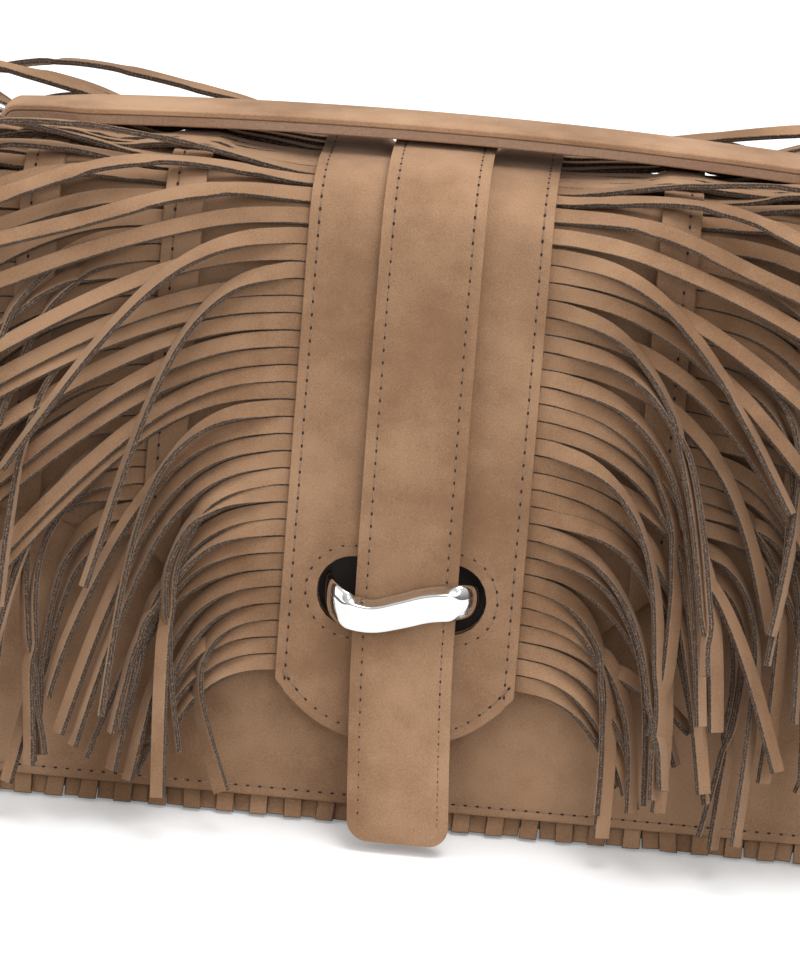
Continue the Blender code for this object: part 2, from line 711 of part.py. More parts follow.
handle = sheet("handle_strap", range(len(HANDLE)), (-1.0, 1.0), handle_shape, HANDLE_THICKNESS, 1.0, SUEDE)
fullness = handle.vertex_groups.new(name="fullness")
for vert in handle.data.vertices:
    nearest = min(HANDLE, key=lambda p: (p[0] - vert.co.x) ** 2 + (p[1] - vert.co.z) ** 2)
    fullness.add([vert.index], nearest[3], "REPLACE")
handle.modifiers["thickness"].vertex_group = "fullness"

# Everything visible lives in the bag's own collection
for obj in list(bpy.context.scene.collection.all_objects):
    if obj.name in cutters.objects or obj.name in bag.objects:
        continue
    for home in list(obj.users_collection):
        home.objects.unlink(obj)
    bag.objects.link(obj)
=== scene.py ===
# %% [markdown]
# # A fringed suede handbag
#
# The bag is a small upright handbag of napped leather. A flap comes over the top and down the front. Three
# rows of cut fringe hang from each half of the flap, a strap is drawn through a metal loop in the middle,
# and a flat handle joins two rings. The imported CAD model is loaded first. It fixes where each piece is, so
# every measure below is either read from it or repeats a size that it was built with.

# %% Load the frame
import json
import math

import bmesh
import bpy
import numpy as np
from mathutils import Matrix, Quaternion, Vector

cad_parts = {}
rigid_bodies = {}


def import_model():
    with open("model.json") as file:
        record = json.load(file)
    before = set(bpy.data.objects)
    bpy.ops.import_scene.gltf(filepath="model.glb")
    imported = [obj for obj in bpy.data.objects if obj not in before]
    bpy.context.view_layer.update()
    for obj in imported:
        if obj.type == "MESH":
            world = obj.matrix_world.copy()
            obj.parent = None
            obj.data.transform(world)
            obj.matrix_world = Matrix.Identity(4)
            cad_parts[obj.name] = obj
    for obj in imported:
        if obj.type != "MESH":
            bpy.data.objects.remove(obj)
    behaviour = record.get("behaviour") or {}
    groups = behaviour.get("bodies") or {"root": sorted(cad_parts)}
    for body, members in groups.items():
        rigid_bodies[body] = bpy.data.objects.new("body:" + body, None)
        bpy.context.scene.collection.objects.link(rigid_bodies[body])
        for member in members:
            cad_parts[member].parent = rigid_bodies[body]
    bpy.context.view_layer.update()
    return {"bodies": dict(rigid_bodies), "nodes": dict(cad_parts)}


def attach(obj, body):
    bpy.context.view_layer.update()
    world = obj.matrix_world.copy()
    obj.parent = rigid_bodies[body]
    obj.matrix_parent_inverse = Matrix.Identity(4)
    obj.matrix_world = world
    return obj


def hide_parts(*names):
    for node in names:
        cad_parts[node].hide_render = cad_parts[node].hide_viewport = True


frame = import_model()
MM = 0.001
BAG = "bag"
HANDLE = "handle"
print("bodies", list(frame["bodies"]), "nodes", len(frame["nodes"]))

# %% [markdown]
# ## The sizes everything hangs on
#
# These repeat the driving sizes of the solids. The heights of the layers on the flap follow from the
# thickness of each layer, from the flap outwards: flap, root of the fringe, panel or band over the root,
# closing strap.

# %% Driving sizes
BODY_HEIGHT = 164 * MM
BASE_WIDTH = 262 * MM
TOP_WIDTH = 250 * MM
BASE_DEPTH = 80 * MM
TOP_DEPTH = 56 * MM
PANEL_THICKNESS = 2.0 * MM
FRONT_EDGE_HEIGHT = 6 * MM
GUSSET_FOLD = 7 * MM
FLAP_THICKNESS = 1.5 * MM
FLAP_CLEARANCE = 0.8 * MM
FLAP_APEX = BODY_HEIGHT + 8.6 * MM
FLAP_TURN_HEIGHT = BODY_HEIGHT - 4 * MM
FLAP_SQUARENESS = 3.0
FLAP_HALF_WIDTH = 110 * MM
FLAP_BACK_REACH = 58 * MM
PANEL_HALF_WIDTH = 32 * MM
PANEL_CORNER_HEIGHT = 40.5 * MM
FLAP_TIP_HEIGHT = 25.5 * MM
PANEL_BACK_REACH = 46 * MM
STRIP_PITCH = 4.6 * MM
STRIP_WIDTH = 4.45 * MM
STRIP_THICKNESS = 1.5 * MM
ROW_SPACING = 38 * MM
ROW_BACK_REACH = 30 * MM
FRINGE_LIFT = 2.45 * MM
COVER_LIFT = 3.4 * MM
COVER_THICKNESS = 1.5 * MM
BAND_WIDTH = 10 * MM
STRAP_LIFT = 5.2 * MM
LOCK_HEIGHT = 66 * MM
STITCH_INSET = 2.6 * MM
STITCH_PITCH = 3.5 * MM
ROW_ROOTS = [PANEL_HALF_WIDTH + row * ROW_SPACING for row in range(3)]
EDGE_PLACES = (PANEL_HALF_WIDTH, ROW_ROOTS[1], FLAP_HALF_WIDTH)
EDGE_HEIGHTS = (PANEL_CORNER_HEIGHT, 74 * MM, 80 * MM)
LEAN = math.atan2((BASE_DEPTH - TOP_DEPTH) / 2, BODY_HEIGHT)
chance = np.random.default_rng(7)


# %% [markdown]
# ## Camera, floor and light
#
# The photograph looks at the front from a little above, from far away, and the picture is turned a few
# degrees clockwise. It is closer than the whole bag, so both ends run out of the frame. The view is worked
# out from the real width that the frame spans. The floor and the background show as white to the camera
# only, so they add no light.

# %% Camera
FRAME_WIDTH = 211.4 * MM
CAMERA_DISTANCE = 1.2
CAMERA_ELEVATION = math.radians(15)
CAMERA_SIDE = math.radians(3)
CAMERA_ROLL = math.radians(4.3)
AIM = Vector((-2.8 * MM, -40 * MM, 97.5 * MM))

camera_data = bpy.data.cameras.new("camera")
camera = bpy.data.objects.new("camera", camera_data)
bpy.context.scene.collection.objects.link(camera)
level = math.cos(CAMERA_ELEVATION)
away = Vector((math.sin(CAMERA_SIDE) * level, -math.cos(CAMERA_SIDE) * level, math.sin(CAMERA_ELEVATION)))
camera.location = AIM + away * CAMERA_DISTANCE
camera.rotation_mode = "QUATERNION"
camera.rotation_quaternion = (-away).to_track_quat("-Z", "Y") @ Quaternion((0, 0, 1), CAMERA_ROLL)
camera_data.sensor_fit = "HORIZONTAL"
camera_data.sensor_width = 36
camera_data.lens = camera_data.sensor_width * CAMERA_DISTANCE / FRAME_WIDTH
camera_data.clip_end = 20
bpy.context.scene.camera = camera
bpy.context.scene.view_settings.view_transform = "Standard"
print("lens", round(camera_data.lens, 1))


# %% [markdown]
# ## A small language for node trees
#
# Shader and geometry trees are easier to read as expressions. `Signal` wraps one output socket and turns
# Python operators into Math nodes. `Board` adds any other node from its type, its settings and the values
# of its sockets.

# %% Node helpers
class Signal:
    """One output socket, with arithmetic."""

    def __init__(self, board, socket):
        self.board = board
        self.socket = socket

    def maths(self, operation, *values):
        return self.board.add("ShaderNodeMath", {"operation": operation}, dict(enumerate(values)))[0]

    def __add__(self, other):
        return self.maths("ADD", self, other)

    def __radd__(self, other):
        return self.maths("ADD", other, self)

    def __sub__(self, other):
        return self.maths("SUBTRACT", self, other)

    def __rsub__(self, other):
        return self.maths("SUBTRACT", other, self)

    def __mul__(self, other):
        return self.maths("MULTIPLY", self, other)

    def __rmul__(self, other):
        return self.maths("MULTIPLY", other, self)

    def __gt__(self, other):
        return self.maths("GREATER_THAN", self, other)

    def __abs__(self):
        return self.maths("ABSOLUTE", self)

    def between(self, low, high):
        """0 below low, 1 above high and a smooth change from one to the other."""
        values = {"Value": self, "From Min": low, "From Max": high}
        return self.board.add("ShaderNodeMapRange", {"interpolation_type": "SMOOTHSTEP"}, values)[0]


class Added:
    """A node that was added: its outputs by name or number."""

    def __init__(self, board, node):
        self.board = board
        self.node = node

    def __getitem__(self, key):
        return Signal(self.board, self.node.outputs[key])


class Board:
    """A node tree that nodes are added to."""

    def __init__(self, tree):
        self.tree = tree

    def add(self, kind, settings=None, values=None):
        node = self.tree.nodes.new(kind)
        for key, value in (settings or {}).items():
            setattr(node, key, value)
        for key, value in (values or {}).items():
            socket = node.inputs[key]
            if isinstance(value, Signal):
                self.tree.links.new(value.socket, socket)
            else:
                socket.default_value = value
        return Added(self, node)

    def mix(self, amount, first, second, blend="MIX"):
        """Blend two colours."""
        colours = [value if isinstance(value, Signal) else (*value, 1.0) for value in (first, second)]
        values = {0: amount, 6: colours[0], 7: colours[1]}
        return self.add("ShaderNodeMix", {"data_type": "RGBA", "blend_type": blend}, values)[2]

    def noise(self, place, scale, detail):
        """Smooth noise of about scale waves to the metre."""
        return self.add("ShaderNodeTexNoise", {}, {"Vector": place, "Scale": scale, "Detail": detail})["Fac"]


def new_material(name):
    """An empty material with its Principled shader and its board."""
    material = bpy.data.materials.new(name)
    material.use_nodes = True
    board = Board(material.node_tree)
    shader = material.node_tree.nodes["Principled BSDF"]
    return material, board, shader


# %% Floor and background
def white_to_camera(material, board, shader, tint, glow):
    """Shows a surface as white to the camera and in reflections, and as it is to the rest of the light."""
    path = board.add("ShaderNodeLightPath")
    seen = path["Is Camera Ray"].maths("MAXIMUM", path["Is Camera Ray"], path["Is Glossy Ray"])
    seen = seen.maths("MAXIMUM", seen, path["Is Transmission Ray"])
    place = board.add("ShaderNodeTexCoord")["Object"]
    distance = board.add("ShaderNodeVectorMath", {"operation": "LENGTH"}, {0: place})["Value"]
    colour = board.mix(distance.between(0.45, 1.6), [c * glow for c in tint], tint)
    bright = board.add("ShaderNodeEmission", {}, {"Color": colour, "Strength": 1.0})
    both = board.add("ShaderNodeAddShader", {}, {0: bright[0], 1: Signal(board, shader.outputs[0])})
    mixed = board.add("ShaderNodeMixShader", {}, {0: seen, 1: Signal(board, shader.outputs[0]), 2: both[0]})
    output = material.node_tree.nodes["Material Output"]
    material.node_tree.links.new(mixed[0].socket, output.inputs["Surface"])


FLOOR_SIZE = 12.0
FLOOR_GREY = (0.78, 0.78, 0.78)
GLOW_UNDER_BAG = 0.22

bpy.ops.mesh.primitive_plane_add(size=FLOOR_SIZE)
floor = bpy.context.object
floor.name = "floor"
floor_material, board, shader = new_material("pale_floor")
shader.inputs["Base Color"].default_value = (*FLOOR_GREY, 1.0)
shader.inputs["Roughness"].default_value = 0.9
shader.inputs["Specular IOR Level"].default_value = 0.1
white_to_camera(floor_material, board, shader, (1.0, 1.0, 1.0), GLOW_UNDER_BAG)
floor.data.materials.append(floor_material)

world = bpy.data.worlds.new("studio")
bpy.context.scene.world = world
world.use_nodes = True
board = Board(world.node_tree)
back = world.node_tree.nodes["Background"]
shown = board.add("ShaderNodeLightPath")["Is Camera Ray"]
height = board.add("ShaderNodeSeparateXYZ", {}, {0: board.add("ShaderNodeTexCoord")["Generated"]})[2]
room = board.mix(height.between(-0.15, 0.75), (0.13, 0.125, 0.12), FLOOR_GREY)
seen = board.mix(shown, room, (1.0, 1.0, 1.0))
world.node_tree.links.new(seen.socket, back.inputs["Color"])
back.inputs["Strength"].default_value = 1.0


# %% Lamps
def soft_lamp(name, place, size, power):
    """A large square lamp aimed at the middle of the bag."""
    data = bpy.data.lights.new(name, "AREA")
    data.shape = "SQUARE"
    data.size = size
    data.energy = power
    lamp = bpy.data.objects.new(name, data)
    bpy.context.scene.collection.objects.link(lamp)
    lamp.location = place
    aim = Vector((0, 0, 0.09)) - Vector(place)
    lamp.rotation_euler = aim.to_track_quat("-Z", "Y").to_euler()
    return lamp


soft_lamp("top_lamp", (0.25, -0.30, 1.25), 0.7, 9.5)
soft_lamp("front_lamp", (0.6, -1.3, 0.85), 0.7, 4.2)
soft_lamp("left_lamp", (-1.0, -0.7, 0.6), 0.8, 3.0)


# %% [markdown]
# ## Suede
#
# Suede has no gloss. Its short nap catches the light at the rim of each form, lies lighter or darker where
# it was brushed, and shows a fine even grain from close by. The colour here changes on three scales: wide
# brushed areas, small clouds and the grain. Sheen lights the rims, and a fine bump breaks the surface up.

# %% Suede materials
SUEDE_DARK = (0.226, 0.124, 0.067)
SUEDE_LIGHT = (0.405, 0.246, 0.146)


def suede_colour(board, place, tone=1.0):
    """The mottled colour of the nap at a place."""
    brushed = board.noise(place, 20.0, 4.0)
    clouds = board.noise(place, 110.0, 4.0)
    grain = board.noise(place, 2600.0, 3.0)
    mixed = brushed + clouds * 0.30 + grain * 0.42 - 0.36
    dark = [c * tone for c in SUEDE_DARK]
    light = [c * tone for c in SUEDE_LIGHT]
    colour = board.mix(mixed.between(0.28, 0.74), dark, light)
    return colour, grain


def napped(material, shader, colour, bump, gloss):
    """Gives a material the dull surface of suede, with a sheen at its rims."""
    material.node_tree.links.new(colour.socket, shader.inputs["Base Color"])
    material.node_tree.links.new(bump[0].socket, shader.inputs["Normal"])
    shader.inputs["Roughness"].default_value = 0.95
    shader.inputs["Specular IOR Level"].default_value = gloss
    shader.inputs["Sheen Weight"].default_value = 0.22
    shader.inputs["Sheen Roughness"].default_value = 0.45
    shader.inputs["Sheen Tint"].default_value = (0.95, 0.78, 0.62, 1.0)
    return material


def suede(name, tone):
    """Plain suede, lighter or darker by tone, which paints light or shade on a piece."""
    material, board, shader = new_material(name)
    place = board.add("ShaderNodeTexCoord")["Object"]
    colour, grain = suede_colour(board, place, tone)
    fuzz = board.noise(place, 3200.0, 2.0)
    bump = board.add("ShaderNodeBump", {},
                     {"Strength": 0.45, "Distance": 0.00012, "Height": grain + fuzz * 0.6})
    return napped(material, shader, colour, bump, 0.15)


# The tones per piece paint light and shade: the handle's top is lighter for the light from above, the body
# darker for the shade under the flap, and the flap, panel and strap step between them.
SUEDE_BODY = suede("suede_body", 0.94)
SUEDE_FLAP = suede("suede_flap", 0.96)
SUEDE_PANEL = suede("suede_panel", 1.0)
SUEDE_STRAP = suede("suede_strap", 1.04)
SUEDE_HANDLE = suede("suede_handle", 1.18)

# %% [markdown]
# The fringe is cut from two layers of suede glued back to back. Its faces are napped, and its cut edges
# show the grey-brown inside of each layer with pale fibres along the two faces and along the glue line.
# Each strip carries `section`, its place across the strip, so the cut edge can be told from the face.

# %% Fringe material
def cut_suede(name):
    """Suede with a layered cut edge, for strips that carry section, along and tone."""
    material, board, shader = new_material(name)
    place = board.add("ShaderNodeTexCoord")["Object"]
    colour, grain = suede_colour(board, place)
    section = board.add("ShaderNodeAttribute", {"attribute_name": "section"})["Vector"]
    parts = board.add("ShaderNodeSeparateXYZ", {}, {"Vector": section})
    along = board.add("ShaderNodeAttribute", {"attribute_name": "along"})["Fac"]
    tone = board.add("ShaderNodeAttribute", {"attribute_name": "tone"})["Fac"]
    toned = board.mix(tone, (0.80, 0.78, 0.76), (1.08, 1.07, 1.06))
    face = board.mix(1.0, colour, toned, "MULTIPLY")
    fibre = board.noise(place, 2600.0, 3.0)
    depth = abs(parts[1])
    rim = depth.between(0.70, 0.98)
    glue = 1.0 - depth.between(0.03, 0.16)
    pale = rim.maths("MAXIMUM", rim * 0.9, glue * 0.55)
    speckle = fibre.between(0.46, 0.72)
    core = board.mix(speckle, (0.050, 0.033, 0.025), (0.20, 0.15, 0.115))
    edge = board.mix(pale * (0.35 + 0.5 * speckle), core, (0.44, 0.32, 0.225))
    side = abs(parts[0]) > 0.93
    cut = side.maths("MAXIMUM", side, along > 0.9992)
    both = board.mix(cut, face, edge)
    bump = board.add("ShaderNodeBump", {},
                     {"Strength": 0.5, "Distance": 0.00014, "Height": grain + fibre * 0.7})
    return napped(material, shader, both, bump, 0.12)


SUEDE_FRINGE = cut_suede("suede_fringe")


# %% Thread, smooth leather, metal and lining
def plain(name, colour, roughness, metallic=0.0, scale=800.0, depth=0.00003, variety=0.12):
    """A finish with a little variety of colour and a fine bump."""
    material, board, shader = new_material(name)
    place = board.add("ShaderNodeTexCoord")["Object"]
    noise = board.noise(place, scale, 3.0)
    dark = [c * (1 - variety) for c in colour]
    light = [min(1.0, c * (1 + variety)) for c in colour]
    links = material.node_tree.links
    links.new(board.mix(noise.between(0.3, 0.7), dark, light).socket, shader.inputs["Base Color"])
    if depth:
        bump = board.add("ShaderNodeBump", {}, {"Strength": 0.5, "Distance": depth, "Height": noise})
        links.new(bump[0].socket, shader.inputs["Normal"])
    shader.inputs["Roughness"].default_value = roughness
    shader.inputs["Metallic"].default_value = metallic
    return material


THREAD = plain("sewing_thread", (0.25, 0.155, 0.10), 0.6, scale=5000.0, variety=0.3)
# Needle holes are near-black: painted shade inside each hole.
NEEDLE_HOLE_SHADE = plain("needle_hole_shade", (0.025, 0.012, 0.010), 0.9, variety=0.3)
SMOOTH_LEATHER = plain("smooth_leather", (0.315, 0.185, 0.115), 0.42, scale=1200.0, depth=0.00005)
# Near-black for the slot: the dark cut edge of its walls, and painted shade inside it.
SLOT_EDGE_AND_SHADE = plain("slot_edge_and_shade", (0.020, 0.012, 0.009), 0.7, scale=900.0)
EDGE_PAINT = plain("edge_paint", (0.27, 0.145, 0.078), 0.5, scale=900.0)
POLISHED = plain("polished_nickel", (0.78, 0.78, 0.77), 0.07, metallic=1.0, scale=300.0, depth=0.0,
                 variety=0.01)
DARK_RING = plain("ring_metal", (0.62, 0.61, 0.60), 0.13, metallic=1.0, scale=400.0, depth=0.0, variety=0.04)
LINING = plain("woven_lining", (0.20, 0.13, 0.085), 0.85, scale=2500.0, depth=0.00008, variety=0.2)
BOARD = plain("stiff_board", (0.16, 0.12, 0.09), 0.8, scale=1500.0, variety=0.2)


# %% [markdown]
# ## The side view of the flap
#
# Everything on the flap follows one curve in side view: up the back, over the top and down the front.
# `on_flap` places a point by its distance sideways, its run along that curve from the top, and its lift off
# it, so a layer or a strip can be designed flat and still wraps round the top of the bag.

# %% The flap's curve
def front_y(z):
    return -(BASE_DEPTH / 2 - (BASE_DEPTH - TOP_DEPTH) / 2 / BODY_HEIGHT * z)


def half_width(z):
    return BASE_WIDTH / 2 - (BASE_WIDTH - TOP_WIDTH) / 2 * z / BODY_HEIGHT


def flap_curve():
    """Run, Y, Z and outward direction along the side view of the flap."""
    low = np.linspace(0.0, FLAP_TURN_HEIGHT, 60)[:-1]
    back_y = -front_y(low) + FLAP_CLEARANCE * math.cos(LEAN)
    back_z = low + FLAP_CLEARANCE * math.sin(LEAN)
    reach = -front_y(FLAP_TURN_HEIGHT) + FLAP_CLEARANCE * math.cos(LEAN)
    base = FLAP_TURN_HEIGHT + FLAP_CLEARANCE * math.sin(LEAN)
    turn = np.linspace(0.0, math.pi, 121)
    power = 2.0 / FLAP_SQUARENESS
    top_y = np.sign(np.cos(turn)) * np.abs(np.cos(turn)) ** power * reach
    top_z = base + np.abs(np.sin(turn)) ** power * (FLAP_APEX - base)
    ys = np.concatenate([back_y, top_y, -back_y[::-1]])
    zs = np.concatenate([back_z, top_z, back_z[::-1]])
    run = np.concatenate([[0.0], np.cumsum(np.hypot(np.diff(ys), np.diff(zs)))])
    run -= run[-1] / 2
    even = np.linspace(run[0], run[-1], 400)
    ys, zs = np.interp(even, run, ys), np.interp(even, run, zs)
    kernel = np.ones(9) / 9
    ty = np.convolve(np.pad(np.gradient(ys, even), 4, mode="edge"), kernel, mode="valid")
    tz = np.convolve(np.pad(np.gradient(zs, even), 4, mode="edge"), kernel, mode="valid")
    size = np.hypot(ty, tz)
    return even, ys, zs, tz / size, -ty / size


RUN, CURVE_Y, CURVE_Z, CURVE_NY, CURVE_NZ = flap_curve()


def ease(t):
    """0 to 1 with a smooth start and end."""
    t = np.clip(t, 0.0, 1.0)
    return t * t * (3 - 2 * t)


def softness(x, z):
    """How far soft leather stands off the solid's flat wall at x and height z: a belly and slow waves."""
    wide = np.clip(1 - (x / half_width(z)) ** 2, 0, 1)
    high = np.clip(z / BODY_HEIGHT, 0, 1)
    belly = 1.5 * MM * wide * np.sin(math.pi * high ** 0.8)
    waves = np.sin(x / (17 * MM) + z / (26 * MM) + 0.7) + np.sin(x / (29 * MM) - z / (15 * MM) + 2.1)
    return belly + 0.16 * MM * waves * np.sqrt(wide) * np.sin(math.pi * high)


def fullness(x, s):
    """How far the flap puffs up on top, behind the handle and beside the middle panel."""
    beside = ease((np.abs(x) - 14.2 * MM) / (3.5 * MM)) * ease((66 * MM - np.abs(x)) / (22 * MM))
    return 2.3 * MM * beside * ease((-s - 2 * MM) / (14 * MM)) * ease((s + 62 * MM) / (26 * MM))


def on_flap(x, s, lift):
    """Points above the inside of the flap."""
    x, s, lift = np.broadcast_arrays(np.asarray(x, float), np.asarray(s, float), np.asarray(lift, float))
    lift = lift + softness(x, np.interp(s, RUN, CURVE_Z)) * (s > 0) + fullness(x, s)
    y = np.interp(s, RUN, CURVE_Y) + lift * np.interp(s, RUN, CURVE_NY)
    z = np.interp(s, RUN, CURVE_Z) + lift * np.interp(s, RUN, CURVE_NZ)
    return np.stack([x, y, z], axis=-1)


def outward(s):
    """Direction straight off the flap at a run."""
    s = np.asarray(s, float)
    return np.stack([np.zeros_like(s), np.interp(s, RUN, CURVE_NY), np.interp(s, RUN, CURVE_NZ)], axis=-1)


def run_at_height(z):
    front = RUN > 0
    return float(np.interp(-z, -CURVE_Z[front], RUN[front]))


def flap_edge(x):
    """Height of the flap's lower edge at x: a round tip, then up towards the ends."""
    if abs(x) < PANEL_HALF_WIDTH:
        return FLAP_TIP_HEIGHT + (PANEL_CORNER_HEIGHT - FLAP_TIP_HEIGHT) * (abs(x) / PANEL_HALF_WIDTH) ** 2.7
    return float(np.interp(abs(x), EDGE_PLACES, EDGE_HEIGHTS))


print("flap runs", round(RUN[0] * 1000), "to", round(RUN[-1] * 1000), "mm")


# %% [markdown]
# ## Sheets of suede
#
# Panels, bands and straps are each a layer of leather with a thickness and slightly rounded edges. A grid
# of points laid out by a function gives the layer, Solidify its thickness and Bevel its edges. Where a seam
# runs, the function presses the layer down a little, as tight stitches do.

# %% Sheet helper
def finish_mesh(obj):
    """Turns an object's modifiers into its mesh."""
    graph = bpy.context.evaluated_depsgraph_get()
    mesh = bpy.data.meshes.new_from_object(obj.evaluated_get(graph), depsgraph=graph)
    obj.modifiers.clear()
    obj.data = mesh
    return obj


def new_piece(name, points, faces, material=None, turn_out=True):
    """An object of points and faces, with its faces turned outwards and drawn smooth."""
    mesh = bpy.data.meshes.new(name)
    mesh.from_pydata([tuple(p) for p in points], [], faces)
    if turn_out:
        bm = bmesh.new()
        bm.from_mesh(mesh)
        bmesh.ops.recalc_face_normals(bm, faces=bm.faces)
        bm.to_mesh(mesh)
        bm.free()
    mesh.shade_smooth()
    if material is not None:
        mesh.materials.append(material)
    obj = bpy.data.objects.new(name, mesh)
    bpy.context.scene.collection.objects.link(obj)
    return obj


def round_edges(obj, width):
    """Rounds the edges of a piece where its faces meet at a sharp angle."""
    rounding = obj.modifiers.new("edge", "BEVEL")
    rounding.width = width
    rounding.segments = 3
    rounding.limit_method = "ANGLE"
    rounding.angle_limit = math.radians(50)
    rounding.harden_normals = True
    return rounding


def wall_faces(rows, ring, closed=False):
    """Faces between rows of points, each row a closed ring. The rows may close too."""
    faces = []
    for i in range(rows if closed else rows - 1):
        for j in range(ring):
            a, b, k = i * ring, (i + 1) % rows * ring, (j + 1) % ring
            faces.append((a + j, a + k, b + k, b + j))
    return faces


def end_faces(rows, ring):
    """The faces that close the first and the last ring."""
    return [tuple(range(ring))[::-1], tuple((rows - 1) * ring + j for j in range(ring))]


def formed_sheet(name, us, vs, place, thickness, material, edge=0.4 * MM, outside=True, cutter=None, rim=None,
                 painted=False):
    """A layer laid out by place(u, v), thickened outwards and with rounded edges."""
    points = np.array([[place(u, v) for v in vs] for u in us], float).reshape(-1, 3)
    across = len(vs)
    faces = []
    for i in range(len(us) - 1):
        for j in range(across - 1):
            a = i * across + j
            faces.append((a, a + across, a + across + 1, a + 1))
    obj = new_piece(name, points, faces, material, turn_out=False)
    thick = obj.modifiers.new("thickness", "SOLIDIFY")
    thick.thickness = thickness
    thick.offset = -1.0 if outside else 1.0
    thick.use_even_offset = True
    if rim is not None:
        obj.data.materials.append(rim)
        thick.material_offset_rim = 1
    if cutter is not None:
        hole = obj.modifiers.new("hole", "BOOLEAN")
        hole.operation = "DIFFERENCE"
        hole.solver = "EXACT"
        # Transfer puts the cutter's near-black finish on the cut walls: painted shade in the slot with its
        # dark cut edge.
        hole.material_mode = "TRANSFER"
        hole.object = cutter
    round_edges(obj, edge).material = 1 if painted else -1
    finish_mesh(obj)
    print(name, len(obj.data.polygons), "faces")
    return obj


def press(distance, depth=0.25 * MM, width=0.9 * MM):
    """How far a seam presses a layer down at a distance from it."""
    return depth * math.exp(-((distance / width) ** 2))


def fine(start, stop, step):
    """Even values from start to stop, about a step apart."""
    count = max(1, int(round(abs(stop - start) / step)))
    return [start + (stop - start) * i / count for i in range(count + 1)]


# %% [markdown]
# ## The body
#
# Front, back and two gussets are sewn round a base. Filled and stood up, the front and back swell by a few
# millimetres. The gussets fold in along their middle, most at the top, and their top edges sag between the
# corners. The base is a tray with rounded front and back edges, and the lining is a soft open box that
# sinks in with the gussets. Each one is its own layer of leather or cloth.

# %% Body panels
BACK_SWELL = 0.9


def gusset_fold(z):
    return GUSSET_FOLD * z / BODY_HEIGHT


def body_panel(name, direction, node):
    def place(part, z):
        x = -direction * part * half_width(z)
        swell = float(softness(x, z)) * (1.0 if direction < 0 else BACK_SWELL)
        swell -= press(z - FRONT_EDGE_HEIGHT - STITCH_INSET)
        return (x, direction * (-front_y(z) - PANEL_THICKNESS + swell), z)
    zs = fine(FRONT_EDGE_HEIGHT, FRONT_EDGE_HEIGHT + 5 * MM, 0.6 * MM)
    zs += fine(FRONT_EDGE_HEIGHT + 5 * MM, BODY_HEIGHT, 6 * MM)[1:]
    obj = formed_sheet(name, fine(-1, 1, 0.05), zs, place, PANEL_THICKNESS, SUEDE_BODY, 0.7 * MM,
                       outside=False)
    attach(obj, BAG)
    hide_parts(node)


body_panel("bag_front", -1, "front_panel")
body_panel("bag_back", 1, "back_panel")


def body_end(name, direction, node):
    def place(part, z):
        high = z / BODY_HEIGHT
        deep = -front_y(z) - PANEL_THICKNESS - 0.3 * MM
        crease = math.exp(-((part / 0.22) ** 2))
        fold = gusset_fold(z) * (0.75 * (1 - abs(part)) ** 2 + 0.25 * crease)
        swell = 1.6 * MM * math.sin(math.pi * min(1.0, high ** 0.7))
        swell *= math.sin(math.pi * abs(part)) * (1 - crease)
        sag = 2.2 * MM * (1 - part ** 2) * high ** 6
        out = half_width(z) - PANEL_THICKNESS - fold + swell
        return direction * out, direction * part * deep, z - sag
    zs = fine(0.4 * MM, BODY_HEIGHT, 5 * MM)
    obj = formed_sheet(name, fine(-1, 1, 0.05), zs, place, PANEL_THICKNESS, SUEDE_BODY, 0.6 * MM,
                       outside=False)
    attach(obj, BAG)
    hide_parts(node)


body_end("bag_end_left", -1, "gusset_left")
body_end("bag_end_right", 1, "gusset_right")

# %% Base and lining
TRAY_HALF_DEPTH = BASE_DEPTH / 2 - 5 * MM
TRAY_HALF_WIDTH = BASE_WIDTH / 2 - 3.5 * MM
TRAY_ROUNDING = 8 * MM
TRAY_FLAT = TRAY_HALF_DEPTH - TRAY_ROUNDING
TRAY_RIM_HEIGHT = 13 * MM

tray = [(-TRAY_HALF_DEPTH, TRAY_RIM_HEIGHT)]
for turn in range(0, 91, 9):
    angle = math.radians(turn)
    tray.append((-TRAY_FLAT - TRAY_ROUNDING * math.cos(angle), TRAY_ROUNDING * (1 - math.sin(angle))))
rounded_side = list(tray)
tray += [(y, 0.0) for y in fine(-TRAY_FLAT, TRAY_FLAT, 6 * MM)[1:-1]]
tray += [(-y, z) for y, z in reversed(rounded_side)]
base = formed_sheet("bag_base", fine(-TRAY_HALF_WIDTH, TRAY_HALF_WIDTH, 6 * MM), range(len(tray)),
                    lambda x, j: (x, *tray[j]), PANEL_THICKNESS, SUEDE_BODY, 0.5 * MM, outside=False)
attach(base, BAG)
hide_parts("base_panel")

LINING_BASE = 4.6 * MM
LINING_SIDE = PANEL_THICKNESS + 0.6 * MM
LINING_THICKNESS = 1.0 * MM
LINING_ROUND = 72
LINING_FOOT_HALF_DEPTH = TRAY_HALF_DEPTH - 3.5 * MM


